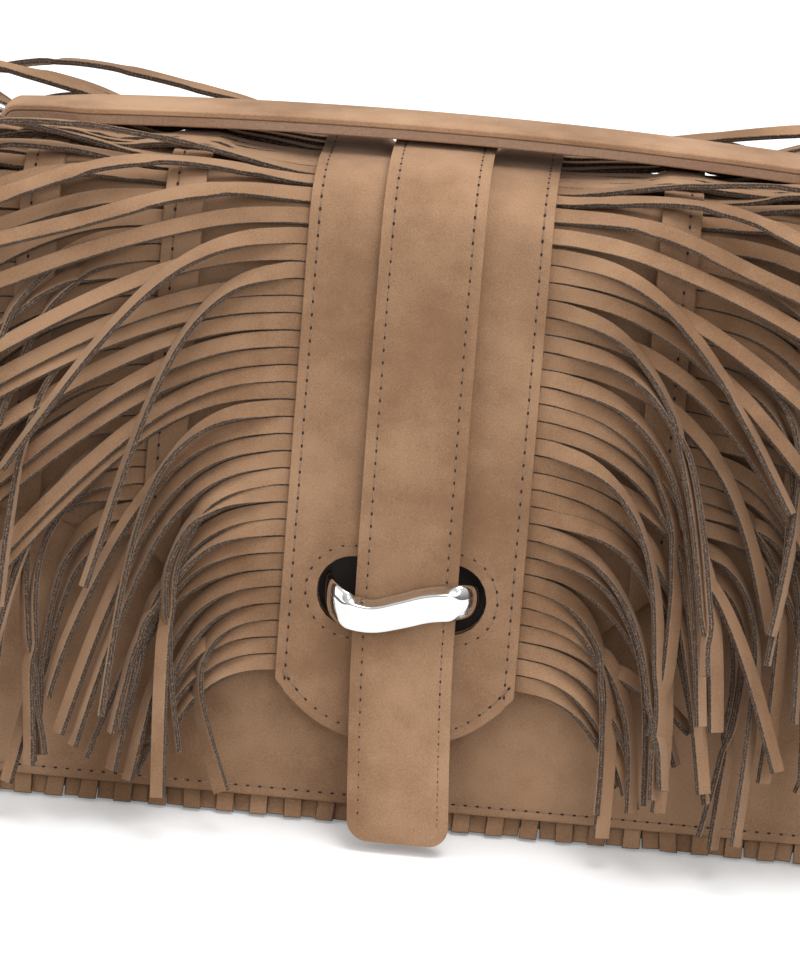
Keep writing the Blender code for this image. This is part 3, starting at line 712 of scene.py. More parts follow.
def lining_box():
    """A box of cloth with an open top: rings of points up its wall, and a floor."""
    top_half_depth = -front_y(BODY_HEIGHT) - LINING_SIDE
    rings = []
    for inset in (LINING_THICKNESS, 0.0):
        heights = fine(LINING_BASE + inset, BODY_HEIGHT - 1.5 * MM, 7 * MM)
        heights = heights if inset == 0.0 else heights[::-1]
        for z in heights:
            part = (z - LINING_BASE) / (BODY_HEIGHT - LINING_BASE)
            deep = LINING_FOOT_HALF_DEPTH + (top_half_depth - LINING_FOOT_HALF_DEPTH) * part
            wide = half_width(z) - LINING_SIDE - gusset_fold(z)
            ring = []
            for turn in np.linspace(0, 2 * math.pi, LINING_ROUND, endpoint=False):
                c, s = math.cos(turn), math.sin(turn)
                x = math.copysign(abs(c) ** 0.16, c) * (wide - inset)
                y = math.copysign(abs(s) ** 0.30, s) * (deep - inset)
                sag = 1.2 * MM * math.cos(turn * 3) * part ** 8
                ripple = 0.5 * MM * math.sin(turn * 7 + z / (14 * MM)) * math.sin(math.pi * part)
                ring.append((x, y - ripple * math.copysign(1, y), z + sag))
            rings.append(ring)
    count = len(rings) // 2
    order = rings[count:] + rings[:count]
    points = [point for ring in order for point in ring]
    faces = wall_faces(len(order), LINING_ROUND) + end_faces(len(order), LINING_ROUND)
    obj = new_piece("bag_lining", points, faces, LINING, turn_out=False)
    obj.data.set_sharp_from_angle(angle=math.radians(50))
    return obj


lining = lining_box()
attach(lining, BAG)
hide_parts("lining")
print("lining", len(lining.data.polygons), "faces")

# %% [markdown]
# ## Flap, middle panel, bands and closing strap
#
# The flap and the layers sewn on it use the flap's curve. The middle panel's edges are turned under, so it
# is fullest just inside its seam. The oval slot in both is cut with a solid bar, whose near-black finish goes
# onto the cut walls: the dark cut edge, with painted shade for the deep slot. The strap is two layers thick
# with painted edges. Its columns of points end on a rounded outline, so the tip is round without a cutter,
# and below the flap it swings forward because it hangs by its own stiffness.

# %% The slot
SLOT_LENGTH = 45 * MM
SLOT_HEIGHT = 19 * MM
SLOT_ROUND = SLOT_HEIGHT / 2
LOCK_RUN = run_at_height(LOCK_HEIGHT)


def slot_outline(grow, count):
    """Points round the slot, in distance sideways and run."""
    outline = []
    for side in (1, -1):
        for turn in np.linspace(-90, 90, count):
            angle = math.radians(turn)
            x = SLOT_LENGTH / 2 - SLOT_ROUND + (SLOT_ROUND + grow) * math.cos(angle)
            outline.append((side * x, side * (SLOT_ROUND + grow) * math.sin(angle)))
    return outline


def slot_plug(name, grow, low, high):
    """A solid of the slot's shape between two lifts, grown a little all round."""
    outline = slot_outline(grow, 21)
    points = [on_flap(x, LOCK_RUN - s, lift) for lift in (low, high) for x, s in outline]
    faces = wall_faces(2, len(outline)) + end_faces(2, len(outline))
    # The near-black finish paints the shade in the slot, with the dark cut edge of its walls.
    obj = new_piece(name, points, faces, SLOT_EDGE_AND_SHADE)
    obj.data.shade_flat()
    return obj


bar = slot_plug("slot_bar", 0.0, -6 * MM, 10 * MM)

# %% Flap layers
TURN = 42 * MM


def layer_place(lift, seams=(), swell=0.0, half=None, seam_depth=0.25 * MM):
    """Lays a layer on the flap. Rows up to TURN are runs, and later ones share out the rest of the front."""
    def place(x, row):
        edge_run = run_at_height(flap_edge(x))
        s = row if row <= TURN else TURN + (row - TURN) * (edge_run - TURN)
        rise = lift
        for seam in seams:
            rise -= press(abs(x) - seam, seam_depth)
        if half is not None and seams:
            inside = max(0.0, 1.0 - (abs(x) / half) ** 6)
            rise += swell * inside
        return tuple(on_flap(x, s, rise))
    return place


def layer_rows(back_reach):
    """Rows from the back over the top, then even parts of the front."""
    return fine(-back_reach, TURN, 2.5 * MM) + [TURN + part for part in fine(0, 1, 1 / 34)[1:]]


def mirrored(values):
    return [-v for v in reversed(values) if v > 0] + list(values)


flap_xs = mirrored(fine(0, 28 * MM, 4 * MM) + fine(28 * MM, 36 * MM, 1 * MM)[1:]
                   + fine(36 * MM, 110 * MM, 4.6 * MM)[1:])
flap = formed_sheet("flap_leather", flap_xs, layer_rows(FLAP_BACK_REACH), layer_place(0.0), FLAP_THICKNESS,
                    SUEDE_FLAP, 0.4 * MM, outside=True, cutter=bar, rim=EDGE_PAINT)
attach(flap, BAG)
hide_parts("flap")

panel_half = [0, 4, 8, 12, 14.2, 15.2, 16.2, 17.2, 18.2, 20, 22, 24, 25.5, 27, 28.2, 28.8, 29.4, 30.0, 30.8,
              31.4, 32]
panel_xs = mirrored([x * MM for x in panel_half])
place = layer_place(COVER_LIFT, seams=(PANEL_HALF_WIDTH - STITCH_INSET,), swell=0.25 * MM,
                    half=PANEL_HALF_WIDTH)
panel = formed_sheet("middle_panel", panel_xs, layer_rows(PANEL_BACK_REACH), place, COVER_THICKNESS,
                     SUEDE_PANEL, 0.6 * MM, outside=True, cutter=bar)
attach(panel, BAG)
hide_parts("centre_panel")
bpy.data.objects.remove(bar)

for row, root in ((2, ROW_ROOTS[1]), (3, ROW_ROOTS[2])):
    for side, word in ((-1, "left"), (1, "right")):
        xs = fine(root - BAND_WIDTH, root + 0.5 * MM, 0.8 * MM)
        xs = [side * x for x in (xs if side > 0 else reversed(xs))]
        place = layer_place(COVER_LIFT, seams=(root - STITCH_INSET,))
        band = formed_sheet(f"seam_band_{word}_{row}", xs, layer_rows(PANEL_BACK_REACH), place,
                            COVER_THICKNESS, SUEDE_FLAP, 0.5 * MM, outside=True)
        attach(band, BAG)
        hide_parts(f"band_{word}_{row}")

# %% Closing strap
STRAP_HALF_WIDTH = 13.1 * MM
STRAP_THICKNESS = 3.2 * MM
STRAP_BACK_REACH = 43 * MM
STRAP_TIP_HEIGHT = 1 * MM
STRAP_LEAVES_FLAP = 56 * MM
STRAP_TIP_SWING = 11 * MM
STRAP_TIP_DRIFT = 3 * MM
STRAP_CORNER = 5 * MM
FREE_RUN = run_at_height(STRAP_LEAVES_FLAP)
TIP_RUN = run_at_height(STRAP_TIP_HEIGHT)


def strap_lift(s):
    """Lift of the strap: it dips behind the loop and swings forward below it."""
    part = max(0.0, (s - FREE_RUN) / (TIP_RUN - FREE_RUN))
    dip = 0.5 * MM * math.exp(-(((s - LOCK_RUN) / (9 * MM)) ** 2))
    hump = 0.8 * MM * math.exp(-(((s - LOCK_RUN - 20 * MM) / (11 * MM)) ** 2))
    hump += 0.4 * MM * math.exp(-(((s - LOCK_RUN + 22 * MM) / (14 * MM)) ** 2))
    return STRAP_LIFT + STRAP_TIP_SWING * part ** 1.6 - dip + hump


def strap_middle(s):
    """How far the middle of the strap is from the middle of the bag."""
    part = float(ease((s - TURN) / (TIP_RUN - TURN)))
    return (0.9 + 0.8 * part) * MM + STRAP_TIP_DRIFT * max(0.0, (s - FREE_RUN) / (TIP_RUN - FREE_RUN)) ** 1.5


LAST_RUN = TIP_RUN - 6 * MM


def strap_place(part, s):
    x = part * STRAP_HALF_WIDTH
    if s > LAST_RUN:
        corner = max(0.0, abs(x) - STRAP_HALF_WIDTH + STRAP_CORNER)
        end = TIP_RUN - STRAP_CORNER + math.sqrt(max(0.0, STRAP_CORNER ** 2 - corner ** 2))
        s = LAST_RUN + (s - LAST_RUN) / (TIP_RUN - LAST_RUN) * (end - LAST_RUN)
    seam = STRAP_HALF_WIDTH - STITCH_INSET
    pressed = press(abs(x) - seam) * ease((TIP_RUN - s) / STRAP_CORNER - 0.3)
    rise = strap_lift(s) - pressed + 0.3 * MM * (1 - part ** 6)
    return tuple(on_flap(strap_middle(s) + x, s, rise))


strap_parts = mirrored([0, 0.25, 0.5, 0.65, 0.72, 0.76, 0.8, 0.84,
                        0.88, 0.91, 0.94, 0.965, 0.985, 0.996, 1.0])
strap_runs = fine(-STRAP_BACK_REACH, LAST_RUN, 2.5 * MM) + fine(LAST_RUN, TIP_RUN, 0.5 * MM)[1:]
strap = formed_sheet("closing_strap_leather", strap_parts, strap_runs, strap_place, STRAP_THICKNESS,
                     SUEDE_STRAP, 1.1 * MM, outside=True, rim=EDGE_PAINT, painted=True)
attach(strap, BAG)
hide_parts("closing_strap")

# %% [markdown]
# ## Stitches
#
# Each seam is a row of short threads, sunk a little into the suede, with a near-black blob between them that
# paints the shade inside each needle hole. A seam is drawn once as a line on the surface with the surface's
# direction stored on it. A Geometry Nodes tree then cuts the line into equal steps and puts a thread and a
# dark hole blob on each.

# %% Stitch tree
def group(name, inputs):
    """A geometry tree with named inputs. Returns its board and the node that gives the inputs."""
    tree = bpy.data.node_groups.new(name, "GeometryNodeTree")
    tree.interface.new_socket("Geometry", in_out="INPUT", socket_type="NodeSocketGeometry")
    for label, kind, value in inputs:
        socket = tree.interface.new_socket(label, in_out="INPUT", socket_type=kind)
        if value is not None:
            socket.default_value = value
    tree.interface.new_socket("Geometry", in_out="OUTPUT", socket_type="NodeSocketGeometry")
    board = Board(tree)
    return board, board.add("NodeGroupInput")


def close_group(board, geometry):
    out = board.add("NodeGroupOutput")
    board.tree.links.new(geometry.socket, out.node.inputs[0])
    return board.tree


def run_group(obj, tree, values):
    """Puts a tree on an object with its inputs set, and turns the result into the object's mesh."""
    modifier = obj.modifiers.new(tree.name, "NODES")
    modifier.node_group = tree
    for item in tree.interface.items_tree:
        if item.item_type == "SOCKET" and item.in_out == "INPUT" and item.name in values:
            modifier[item.identifier] = values[item.name]
    return finish_mesh(obj)


THREAD_LENGTH = 2.3 * MM
THREAD_WIDTH = 0.5 * MM
HOLE_WIDTH = 1.15 * MM


def build_stitch_tree():
    sizes = [("Pitch", "NodeSocketFloat", STITCH_PITCH), ("Thread Length", "NodeSocketFloat", THREAD_LENGTH),
             ("Thread Width", "NodeSocketFloat", THREAD_WIDTH), ("Hole Width", "NodeSocketFloat", HOLE_WIDTH),
             ("Thread", "NodeSocketMaterial", None), ("Hole", "NodeSocketMaterial", None),
             ("Seed", "NodeSocketInt", 3)]
    board, given = group("stitches", sizes)
    curve = board.add("GeometryNodeMeshToCurve", {}, {"Mesh": given["Geometry"]})["Curve"]
    up = board.add("GeometryNodeInputNamedAttribute", {"data_type": "FLOAT_VECTOR"}, {"Name": "up"})[0]
    turned = board.add("GeometryNodeSetCurveNormal", {"mode": "FREE"},
                       {"Curve": curve, "Normal": up})["Curve"]
    marks = board.add("GeometryNodeCurveToPoints", {"mode": "LENGTH"},
                      {"Curve": turned, "Length": given["Pitch"]})
    facing = board.add("FunctionNodeAxesToRotation", {"primary_axis": "Z", "secondary_axis": "X"},
                       {0: marks["Normal"], 1: marks["Tangent"]})[0]
    jitter = board.add("FunctionNodeRandomValue", {"data_type": "FLOAT"},
                       {2: -0.12, 3: 0.12, "Seed": given["Seed"]})[1]
    spin = board.add("ShaderNodeCombineXYZ", {}, {2: jitter})[0]
    crooked = board.add("FunctionNodeRotateRotation", {"rotation_space": "LOCAL"}, {0: facing, 1: spin})[0]
    ball = board.add("GeometryNodeMeshUVSphere", {}, {"Segments": 8, "Rings": 5, "Radius": 0.5})["Mesh"]
    thread_size = board.add("ShaderNodeCombineXYZ", {}, {0: given["Thread Length"], 1: given["Thread Width"],
                                                         2: given["Thread Width"]})[0]
    hole_size = board.add("ShaderNodeCombineXYZ", {}, {0: given["Hole Width"], 1: given["Hole Width"] * 0.62,
                                                       2: given["Hole Width"] * 0.30})[0]
    threads = board.add("GeometryNodeInstanceOnPoints", {}, {"Points": marks["Points"], "Instance": ball,
                                                             "Rotation": crooked, "Scale": thread_size})[0]
    step = board.add("ShaderNodeVectorMath", {"operation": "SCALE"},
                     {0: marks["Tangent"], "Scale": given["Pitch"] * 0.5})[0]
    # Half a pitch on, a dark flattened blob paints the shade inside each needle hole.
    moved = board.add("GeometryNodeSetPosition", {}, {"Geometry": marks["Points"], "Offset": step})[0]
    holes = board.add("GeometryNodeInstanceOnPoints", {}, {"Points": moved, "Instance": ball,
                                                           "Rotation": facing, "Scale": hole_size})[0]
    thread_mesh = board.add("GeometryNodeRealizeInstances", {}, {0: threads})[0]
    hole_mesh = board.add("GeometryNodeRealizeInstances", {}, {0: holes})[0]
    thread_mesh = board.add("GeometryNodeSetMaterial", {},
                            {"Geometry": thread_mesh, "Material": given["Thread"]})[0]
    hole_mesh = board.add("GeometryNodeSetMaterial", {},
                          {"Geometry": hole_mesh, "Material": given["Hole"]})[0]
    joined = board.add("GeometryNodeJoinGeometry")
    for part in (thread_mesh, hole_mesh):
        board.tree.links.new(part.socket, joined.node.inputs[0])
    smooth = board.add("GeometryNodeSetShadeSmooth", {}, {0: joined[0]})[0]
    return close_group(board, smooth)


STITCH_TREE = build_stitch_tree()


def line_object(name, lines, fields):
    """An object of open lines, with vectors or numbers stored on their points."""
    points, edges = [], []
    stored = {key: [] for key in fields}
    for line in lines:
        start = len(points)
        points += [tuple(p) for p in line["points"]]
        edges += [(start + i, start + i + 1) for i in range(len(line["points"]) - 1)]
        for key in fields:
            stored[key] += list(line[key])
    mesh = bpy.data.meshes.new(name)
    mesh.from_pydata(points, edges, [])
    for key, kind in fields.items():
        layer = mesh.attributes.new(key, kind, "POINT")
        flat = np.array(stored[key], np.float32).ravel()
        layer.data.foreach_set("vector" if kind == "FLOAT_VECTOR" else "value", flat)
    obj = bpy.data.objects.new(name, mesh)
    bpy.context.scene.collection.objects.link(obj)
    return obj


def stitch(name, lines, body, pitch=STITCH_PITCH):
    """Sews along lines, each with its points and the surface direction at them."""
    obj = line_object(name, lines, {"up": "FLOAT_VECTOR"})
    values = {"Pitch": pitch, "Thread Length": THREAD_LENGTH * pitch / STITCH_PITCH,
              "Thread Width": THREAD_WIDTH, "Hole Width": HOLE_WIDTH,
              "Thread": THREAD, "Hole": NEEDLE_HOLE_SHADE, "Seed": 3}
    run_group(obj, STITCH_TREE, values)
    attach(obj, body)
    print(name, len(obj.data.polygons), "faces")
    return obj


# %% Seams on the flap
def flap_line(xs, runs, lift):
    return {"points": on_flap(xs, runs, lift), "up": outward(runs)}


def down_line(x, start, lift, stop=None):
    """A seam that runs down the flap at one distance from the middle."""
    stop = run_at_height(flap_edge(x)) - STITCH_INSET if stop is None else stop
    runs = np.array(fine(start, stop, 1.5 * MM))
    return flap_line(np.full(len(runs), x), runs, lift)


SUNK = 0.16 * MM
PANEL_FACE = COVER_LIFT + COVER_THICKNESS - SUNK
panel_seams = []
seam_x = PANEL_HALF_WIDTH - STITCH_INSET
for side in (-1, 1):
    stop = run_at_height(PANEL_CORNER_HEIGHT + 2 * MM)
    panel_seams.append(down_line(side * seam_x, -PANEL_BACK_REACH, PANEL_FACE, stop))
tip_xs = np.array(fine(-seam_x, seam_x, 1.2 * MM))
tip_runs = np.array([run_at_height(flap_edge(x * 1.06) + STITCH_INSET) for x in tip_xs])
panel_seams.append(flap_line(tip_xs, tip_runs, PANEL_FACE + 0.3 * MM))
ring = slot_outline(3.0 * MM, 25)
ring.append(ring[0])
ring_xs = np.array([x for x, _ in ring])
ring_runs = np.array([LOCK_RUN - s for _, s in ring])
panel_seams.append(flap_line(ring_xs, ring_runs, PANEL_FACE + 0.3 * MM))
stitch("panel_stitches", panel_seams, BAG)

flap_seams = []
for side in (-1, 1):
    for row in (1, 2):
        flap_seams.append(down_line(side * (ROW_ROOTS[row] - STITCH_INSET), -PANEL_BACK_REACH, PANEL_FACE))
    edge_xs = side * np.array(fine(PANEL_HALF_WIDTH + 1 * MM, FLAP_HALF_WIDTH - STITCH_INSET, 2 * MM))
    edge_runs = np.array([run_at_height(flap_edge(x) + STITCH_INSET) for x in edge_xs])
    flap_seams.append(flap_line(edge_xs, edge_runs, FLAP_THICKNESS - SUNK))
stitch("flap_stitches", flap_seams, BAG)

# %% Seams on the strap and the front
strap_seams = []
seam_x = STRAP_HALF_WIDTH - STITCH_INSET
stop = TIP_RUN - STRAP_CORNER - 1 * MM
for side in (-1, 1):
    runs = np.array(fine(-STRAP_BACK_REACH, stop, 1.5 * MM))
    lifts = np.array([strap_lift(s) + STRAP_THICKNESS - SUNK + 0.12 * MM for s in runs])
    xs = side * seam_x + np.array([strap_middle(s) for s in runs])
    strap_seams.append({"points": on_flap(xs, runs, lifts), "up": outward(runs)})
turn = np.linspace(0, math.pi, 30)
xs = seam_x * np.sign(np.cos(turn)) * np.abs(np.cos(turn)) ** 0.45
runs = stop + (STRAP_CORNER + 1 * MM - STITCH_INSET) * np.sin(turn) ** 0.6
lifts = np.array([strap_lift(s) + STRAP_THICKNESS - SUNK + 0.16 * MM for s in runs])
xs = xs + np.array([strap_middle(s) for s in runs])
strap_seams.append({"points": on_flap(xs, runs, lifts), "up": outward(runs)})
stitch("strap_stitches", strap_seams, BAG, 3.35 * MM)

front_seams = []
for direction in (-1, 1):
    z = FRONT_EDGE_HEIGHT + STITCH_INSET
    xs = np.array(fine(-half_width(z) + 3 * MM, half_width(z) - 3 * MM, 3 * MM))
    ys = direction * (-front_y(z) + softness(xs, z) * (1.0 if direction < 0 else BACK_SWELL) - SUNK - 0.1 * MM)
    points = np.stack([xs, ys, np.full(len(xs), z)], axis=-1)
    up = np.tile([0.0, direction * math.cos(LEAN), math.sin(LEAN)], (len(xs), 1))
    front_seams.append({"points": points, "up": up})
stitch("body_stitches", front_seams, BAG, 3.25 * MM)

# %% [markdown]
# ## The fringe
#
# A strip leaves its seam sideways, lying flat with its neighbours. Leather bends easily only across its
# face, so a strip that droops has to twist first, and by the time it hangs it is edge-on and shows its
# layered cut edge. The solids hold this fall as a droop and a twist at a few stations, growing from the top
# of the bag to the lower edge. The visual strips start from the same fall, drawn as smooth curves.
# Neighbours share slow changes, so they stay nearly parallel. A few loose ones stand off, turn sooner and
# hang in front. A short relaxation then pushes crossing strips apart and keeps them off the bag, the
# handle, the rings and the floor.

# %% Handle and ring sizes
HANDLE_HALF_WIDTH = 11 * MM
HANDLE_END_HALF_WIDTH = 7 * MM
HANDLE_THICKNESS = 4.4 * MM
HANDLE_RETURN_LENGTH = 6 * MM
HANDLE_RISE = 4.4 * MM
RING_RADIUS = 10 * MM
RING_WIRE = 1.5 * MM
RING_TILT = math.radians(20)
RING_INNER = (112 * MM, FLAP_APEX + 2.2 * MM)
RING_PLAY = 0.4 * MM


def ring_bow(half):
    return RING_RADIUS - math.sqrt((RING_RADIUS - RING_WIRE) ** 2 - half ** 2)


END_FLOOR = RING_INNER[1] - RING_WIRE - RING_PLAY
END_CEILING = RING_INNER[1] + RING_WIRE + RING_PLAY + ring_bow(HANDLE_END_HALF_WIDTH) * math.sin(RING_TILT)
END_ROUND = (END_CEILING - END_FLOOR) / 2
END_REACH = RING_INNER[0] + ring_bow(HANDLE_END_HALF_WIDTH) + RING_PLAY
SPREAD = END_REACH - END_ROUND

# %% Strip rules
ROW_LENGTHS = (106 * MM, 95 * MM, 68 * MM)
POINTS = 28
SPANS = np.array([4.0, 14.0, 28.0, 49.0, 80.0]) * MM
TURNS = np.array([0.0, 8.0, 20.0, 36.0, 62.0, 106.0]) * MM
TOP_DROOP = np.array([1.0, 8.0, 18.0, 28.0, 36.0])
TOP_TWIST = np.array([0.0, 5.0, 15.0, 26.0, 34.0, 38.0])
LOW_DROOP = np.array([4.0, 24.0, 60.0, 80.0, 86.0])
LOW_TWIST = np.array([0.0, 10.0, 42.0, 78.0, 88.0, 90.0])
LOOSE_DROOP = np.array([3.0, 30.0, 70.0, 86.0, 90.0])
LOOSE_TWIST = np.array([0.0, 26.0, 78.0, 92.0, 96.0, 96.0])
HANG_FROM = {-1: 92 * MM, 1: 112 * MM}
LOOSE_SHARE = {-1: (0.40, 0.42, 0.30), 1: (0.44, 0.36, 0.28)}
TOP_RUN = run_at_height(FLAP_TURN_HEIGHT)
UNDER_HANDLE = 14 * MM
RING_ZONE = 108 * MM
FRINGE_RISE = 0.2


def row_roots(row):
    """Runs of the strips' roots along one seam."""
    stop = run_at_height(flap_edge(ROW_ROOTS[row]) + 2 * MM)
    count = int((stop + ROW_BACK_REACH) / STRIP_PITCH)
    return [stop - 2 * MM - (count - k) * STRIP_PITCH for k in range(count + 1)]


def drift(count, slow):
    """Smooth changes along a row, about 1 in size."""
    raw = chance.normal(size=count + 4 * slow)
    kernel = np.hanning(2 * slow + 1)
    smooth = np.convolve(raw, kernel / np.sqrt((kernel ** 2).sum()), mode="same")
    return smooth[2 * slow:2 * slow + count]


def fall(root, side, early):
    """Droop and twist of a strip from its root's place, as the solids have them."""
    level = min(1.0, abs(root) / TOP_RUN) ** 2
    reach = run_at_height(HANG_FROM[side]) - TOP_RUN
    low = min(1.0, max(0.0, (abs(root) - TOP_RUN) / reach + early * min(1.0, abs(root) / TOP_RUN)))
    return level * (TOP_DROOP + (LOW_DROOP - TOP_DROOP) * low), TOP_TWIST + (LOW_TWIST - TOP_TWIST) * low, low


def walk(angle, lifting, step, forward):
    """Distance out, run and lift along a strip that droops and lifts by these angles at each step."""
    moves = (np.cos(angle) * np.cos(lifting), np.sin(angle) * np.cos(lifting) * forward, np.sin(lifting))
    return [np.concatenate([[0], np.cumsum(move)]) * step for move in moves]


def plan_side(side):
    """All the strips on one side of the bag, each with its curve out, along the flap and off it."""
    strips = []
    for row in range(3):
        roots = row_roots(row)
        mood, lengths = drift(len(roots), 4), drift(len(roots), 1)
        loose_mood, spread = drift(len(roots), 2), drift(len(roots), 3)
        for k, root in enumerate(roots):
            under = abs(root) < UNDER_HANDLE
            if under and row == 2:
                continue
            length = ROW_LENGTHS[row] * (1 + 0.03 * lengths[k] + 0.02 * chance.normal())
            droop, twist, low = fall(root, side, 0.16 * mood[k])
            droop = droop * (1 + 0.05 * mood[k] + 0.03 * chance.normal())
            threshold = 0.75 - LOOSE_SHARE[side][row]
            loose = 0.5 * loose_mood[k] + 0.7 * chance.normal() > threshold and root > TOP_RUN - 6 * MM
            stand = math.radians(1 + 5 * low + 1.5 * chance.random())
            settle, early = 30 * MM, 6 * MM
            if loose:
                start = (2 + 9 * chance.random()) * MM
                ready = ease(np.interp(abs(root), (TOP_RUN, TOP_RUN + 24 * MM), (0.45, 1.0)))
                droop = droop + (np.interp(SPANS - start, SPANS, LOOSE_DROOP) - droop) * ready
                twist = twist + (np.interp(TURNS - start * 0.6, TURNS, LOOSE_TWIST) - twist) * ready
                stand = math.radians(12 + 12 * chance.random())
                settle = (24 + 14 * chance.random()) * MM
                early = start * 0.6
            place = max(0.0, root - TOP_RUN) / (roots[-1] - TOP_RUN)
            if root > 0:
                height = float(np.interp(root, RUN, CURVE_Z))
                room = height - (2 + 18 * chance.random() ** 1.6) * MM
                length = min(length, room / 0.96 + (16 - 10 * place) * MM)
            u = np.linspace(0, length, POINTS)
            middle = (u[1:] + u[:-1]) / 2
            reach = (1.75 - 0.95 * place) * math.exp(0.20 * spread[k] + 0.12 * chance.normal())
            reach = 1.0 + (reach - 1.0) * low * (0.45 if loose else 1.0)
            sway = math.radians(9) * chance.normal() + math.radians(5) * spread[k]
            angle = np.radians(np.interp(middle / reach, SPANS, droop))
            angle = angle - sway * low * ease((middle - 14 * MM) / (30 * MM))
            if root < -UNDER_HANDLE:
                stand = math.radians(15 + 14 * chance.random())
            if under:
                clear = max(0.0, UNDER_HANDLE + 1 * MM - abs(root))
                angle = np.full(len(middle), math.atan2(clear, RING_ZONE - ROW_ROOTS[row]))
                twist = twist * 0.0
                stand = math.radians(7)
            lifting = stand * ease(middle / early / 2) * (1 - ease((middle - early) / settle))
            lifting += math.radians(3.5) * chance.normal() * low * ease((middle - 24 * MM) / (30 * MM))
            lifting += math.asin(FRINGE_RISE) * ease(middle / (16 * MM)) * (0 if under else 1)
            out, down, lift = walk(angle, lifting, u[1], 1.0 if root > 0 else -1.0)
            turn = np.radians(np.interp(u / reach, TURNS, twist))
            unwind = math.radians(55) * chance.random() ** 0.7 * low * ease((u - 26 * MM * reach) / (40 * MM))
            turn = turn - unwind + math.radians(8) * chance.normal() * ease(u / length)
            strips.append({"row": row, "root": root, "out": out, "down": down, "lift": lift, "turn": turn,
                           "length": length})
    return strips


# %% Relaxation
def nearest_run(points):
    """Run of points along the flap's curve, their lift above it and the curve's normal there."""
    keep = slice(None, None, 3)
    ys, zs, runs = CURVE_Y[keep], CURVE_Z[keep], RUN[keep]
    away = (points[:, 1:2] - ys[None]) ** 2 + (points[:, 2:3] - zs[None]) ** 2
    best = np.argmin(away, axis=1)
    normal = np.stack([CURVE_NY[keep][best], CURVE_NZ[keep][best]], axis=-1)
    offset = np.stack([points[:, 1] - ys[best], points[:, 2] - zs[best]], axis=-1)
    return runs[best], (offset * normal).sum(axis=1), normal


def lowest_lift(points, floor_lift):
    """Least lift allowed at points: strips rest on the bands where those are."""
    x = np.abs(points[:, 0])
    least = floor_lift.copy()
    for root in ROW_ROOTS[1:]:
        over = (x > root - 12 * MM) & (x < root + 2 * MM) & (floor_lift > FRINGE_LIFT + 0.4 * MM)
        least = np.where(over, np.maximum(least, COVER_LIFT + 2.6 * MM), least)
    return least


def close_pairs(points, owner, reach):
    """Pairs of points of different strips that are near each other."""
    first, second = [], []
    count = len(points)
    for start in range(0, count, 400):
        part = points[start:start + 400]
        gap = ((part[:, None, :] - points[None]) ** 2).sum(axis=-1)
        i, j = np.nonzero(gap < reach ** 2)
        i = i + start
        good = (j > i) & (owner[i] != owner[j])
        first.append(i[good])
        second.append(j[good])
    return np.concatenate(first), np.concatenate(second)


def frames(paths, strips):
    """Tangent, face direction and width direction along each strip."""
    tangent = np.gradient(paths, axis=1)
    tangent /= np.linalg.norm(tangent, axis=-1, keepdims=True)
    normal = nearest_run(paths.reshape(-1, 3))[2]
    off = np.concatenate([np.zeros((len(normal), 1)), normal], axis=1).reshape(paths.shape)
    off = off - (off * tangent).sum(-1, keepdims=True) * tangent
    off /= np.linalg.norm(off, axis=-1, keepdims=True)
    side = np.cross(off, tangent)
    turn = np.array([strip["turn"] for strip in strips])[..., None]
    up = side * np.sign((side[:, :1, 2:3]) + 1e-9)
    face = np.cos(turn) * off + np.sin(turn) * up
    width = np.cross(tangent, face)
    return tangent, face, width


SIDE_FALL = 20.0
QUICK_ROUNDS, ROUNDS = 20, 60
ROOM_ACROSS, ROOM_ALONG, ROOM_APART = 4.0 * MM, 4.5 * MM, 1.8 * MM
HANDLE_ZONE, HANDLE_ZONE_HEIGHT = 13 * MM, 168 * MM
RING_ZONE_END, RING_ZONE_HEIGHT = 140 * MM, 150 * MM
LOWEST_MIDDLE = 1.6 * MM


def handle_ceiling(x, y):
    """Greatest height of a strip's middle under the handle, with room for the handle's swing."""
    return END_CEILING + HANDLE_RISE * (1 - (np.abs(x) / SPREAD) ** 2) - 1.2 * MM - 0.15 * np.abs(y)


def push_apart(paths, tangent, width, i, j):
    """Moves points of crossing strips apart, each pair across the face of the first."""
    flat = paths.reshape(-1, 3)
    gap = flat[j] - flat[i]
    across = width.reshape(-1, 3)[i]
    along = tangent.reshape(-1, 3)[i]
    wide = (gap * across).sum(-1)
    lengthwise = (gap * along).sum(-1)
    thin = gap - across * wide[:, None] - along * lengthwise[:, None]
    thin_size = np.linalg.norm(thin, axis=-1) + 1e-9
    measure = np.sqrt((wide / ROOM_ACROSS) ** 2 + (lengthwise / ROOM_ALONG) ** 2
                      + (thin_size / ROOM_APART) ** 2)
    near = measure < 1
    push = np.where(near, (1 - measure) * ROOM_APART * 0.5, 0.0)[:, None] * thin / thin_size[:, None]
    shift = np.zeros_like(flat)
    np.add.at(shift, i, -push)
    np.add.at(shift, j, push)
    touched = np.zeros(len(flat))
    np.add.at(touched, i, near)
    np.add.at(touched, j, near)
    return (flat + shift / np.maximum(1, touched * 0.6)[:, None]).reshape(paths.shape)


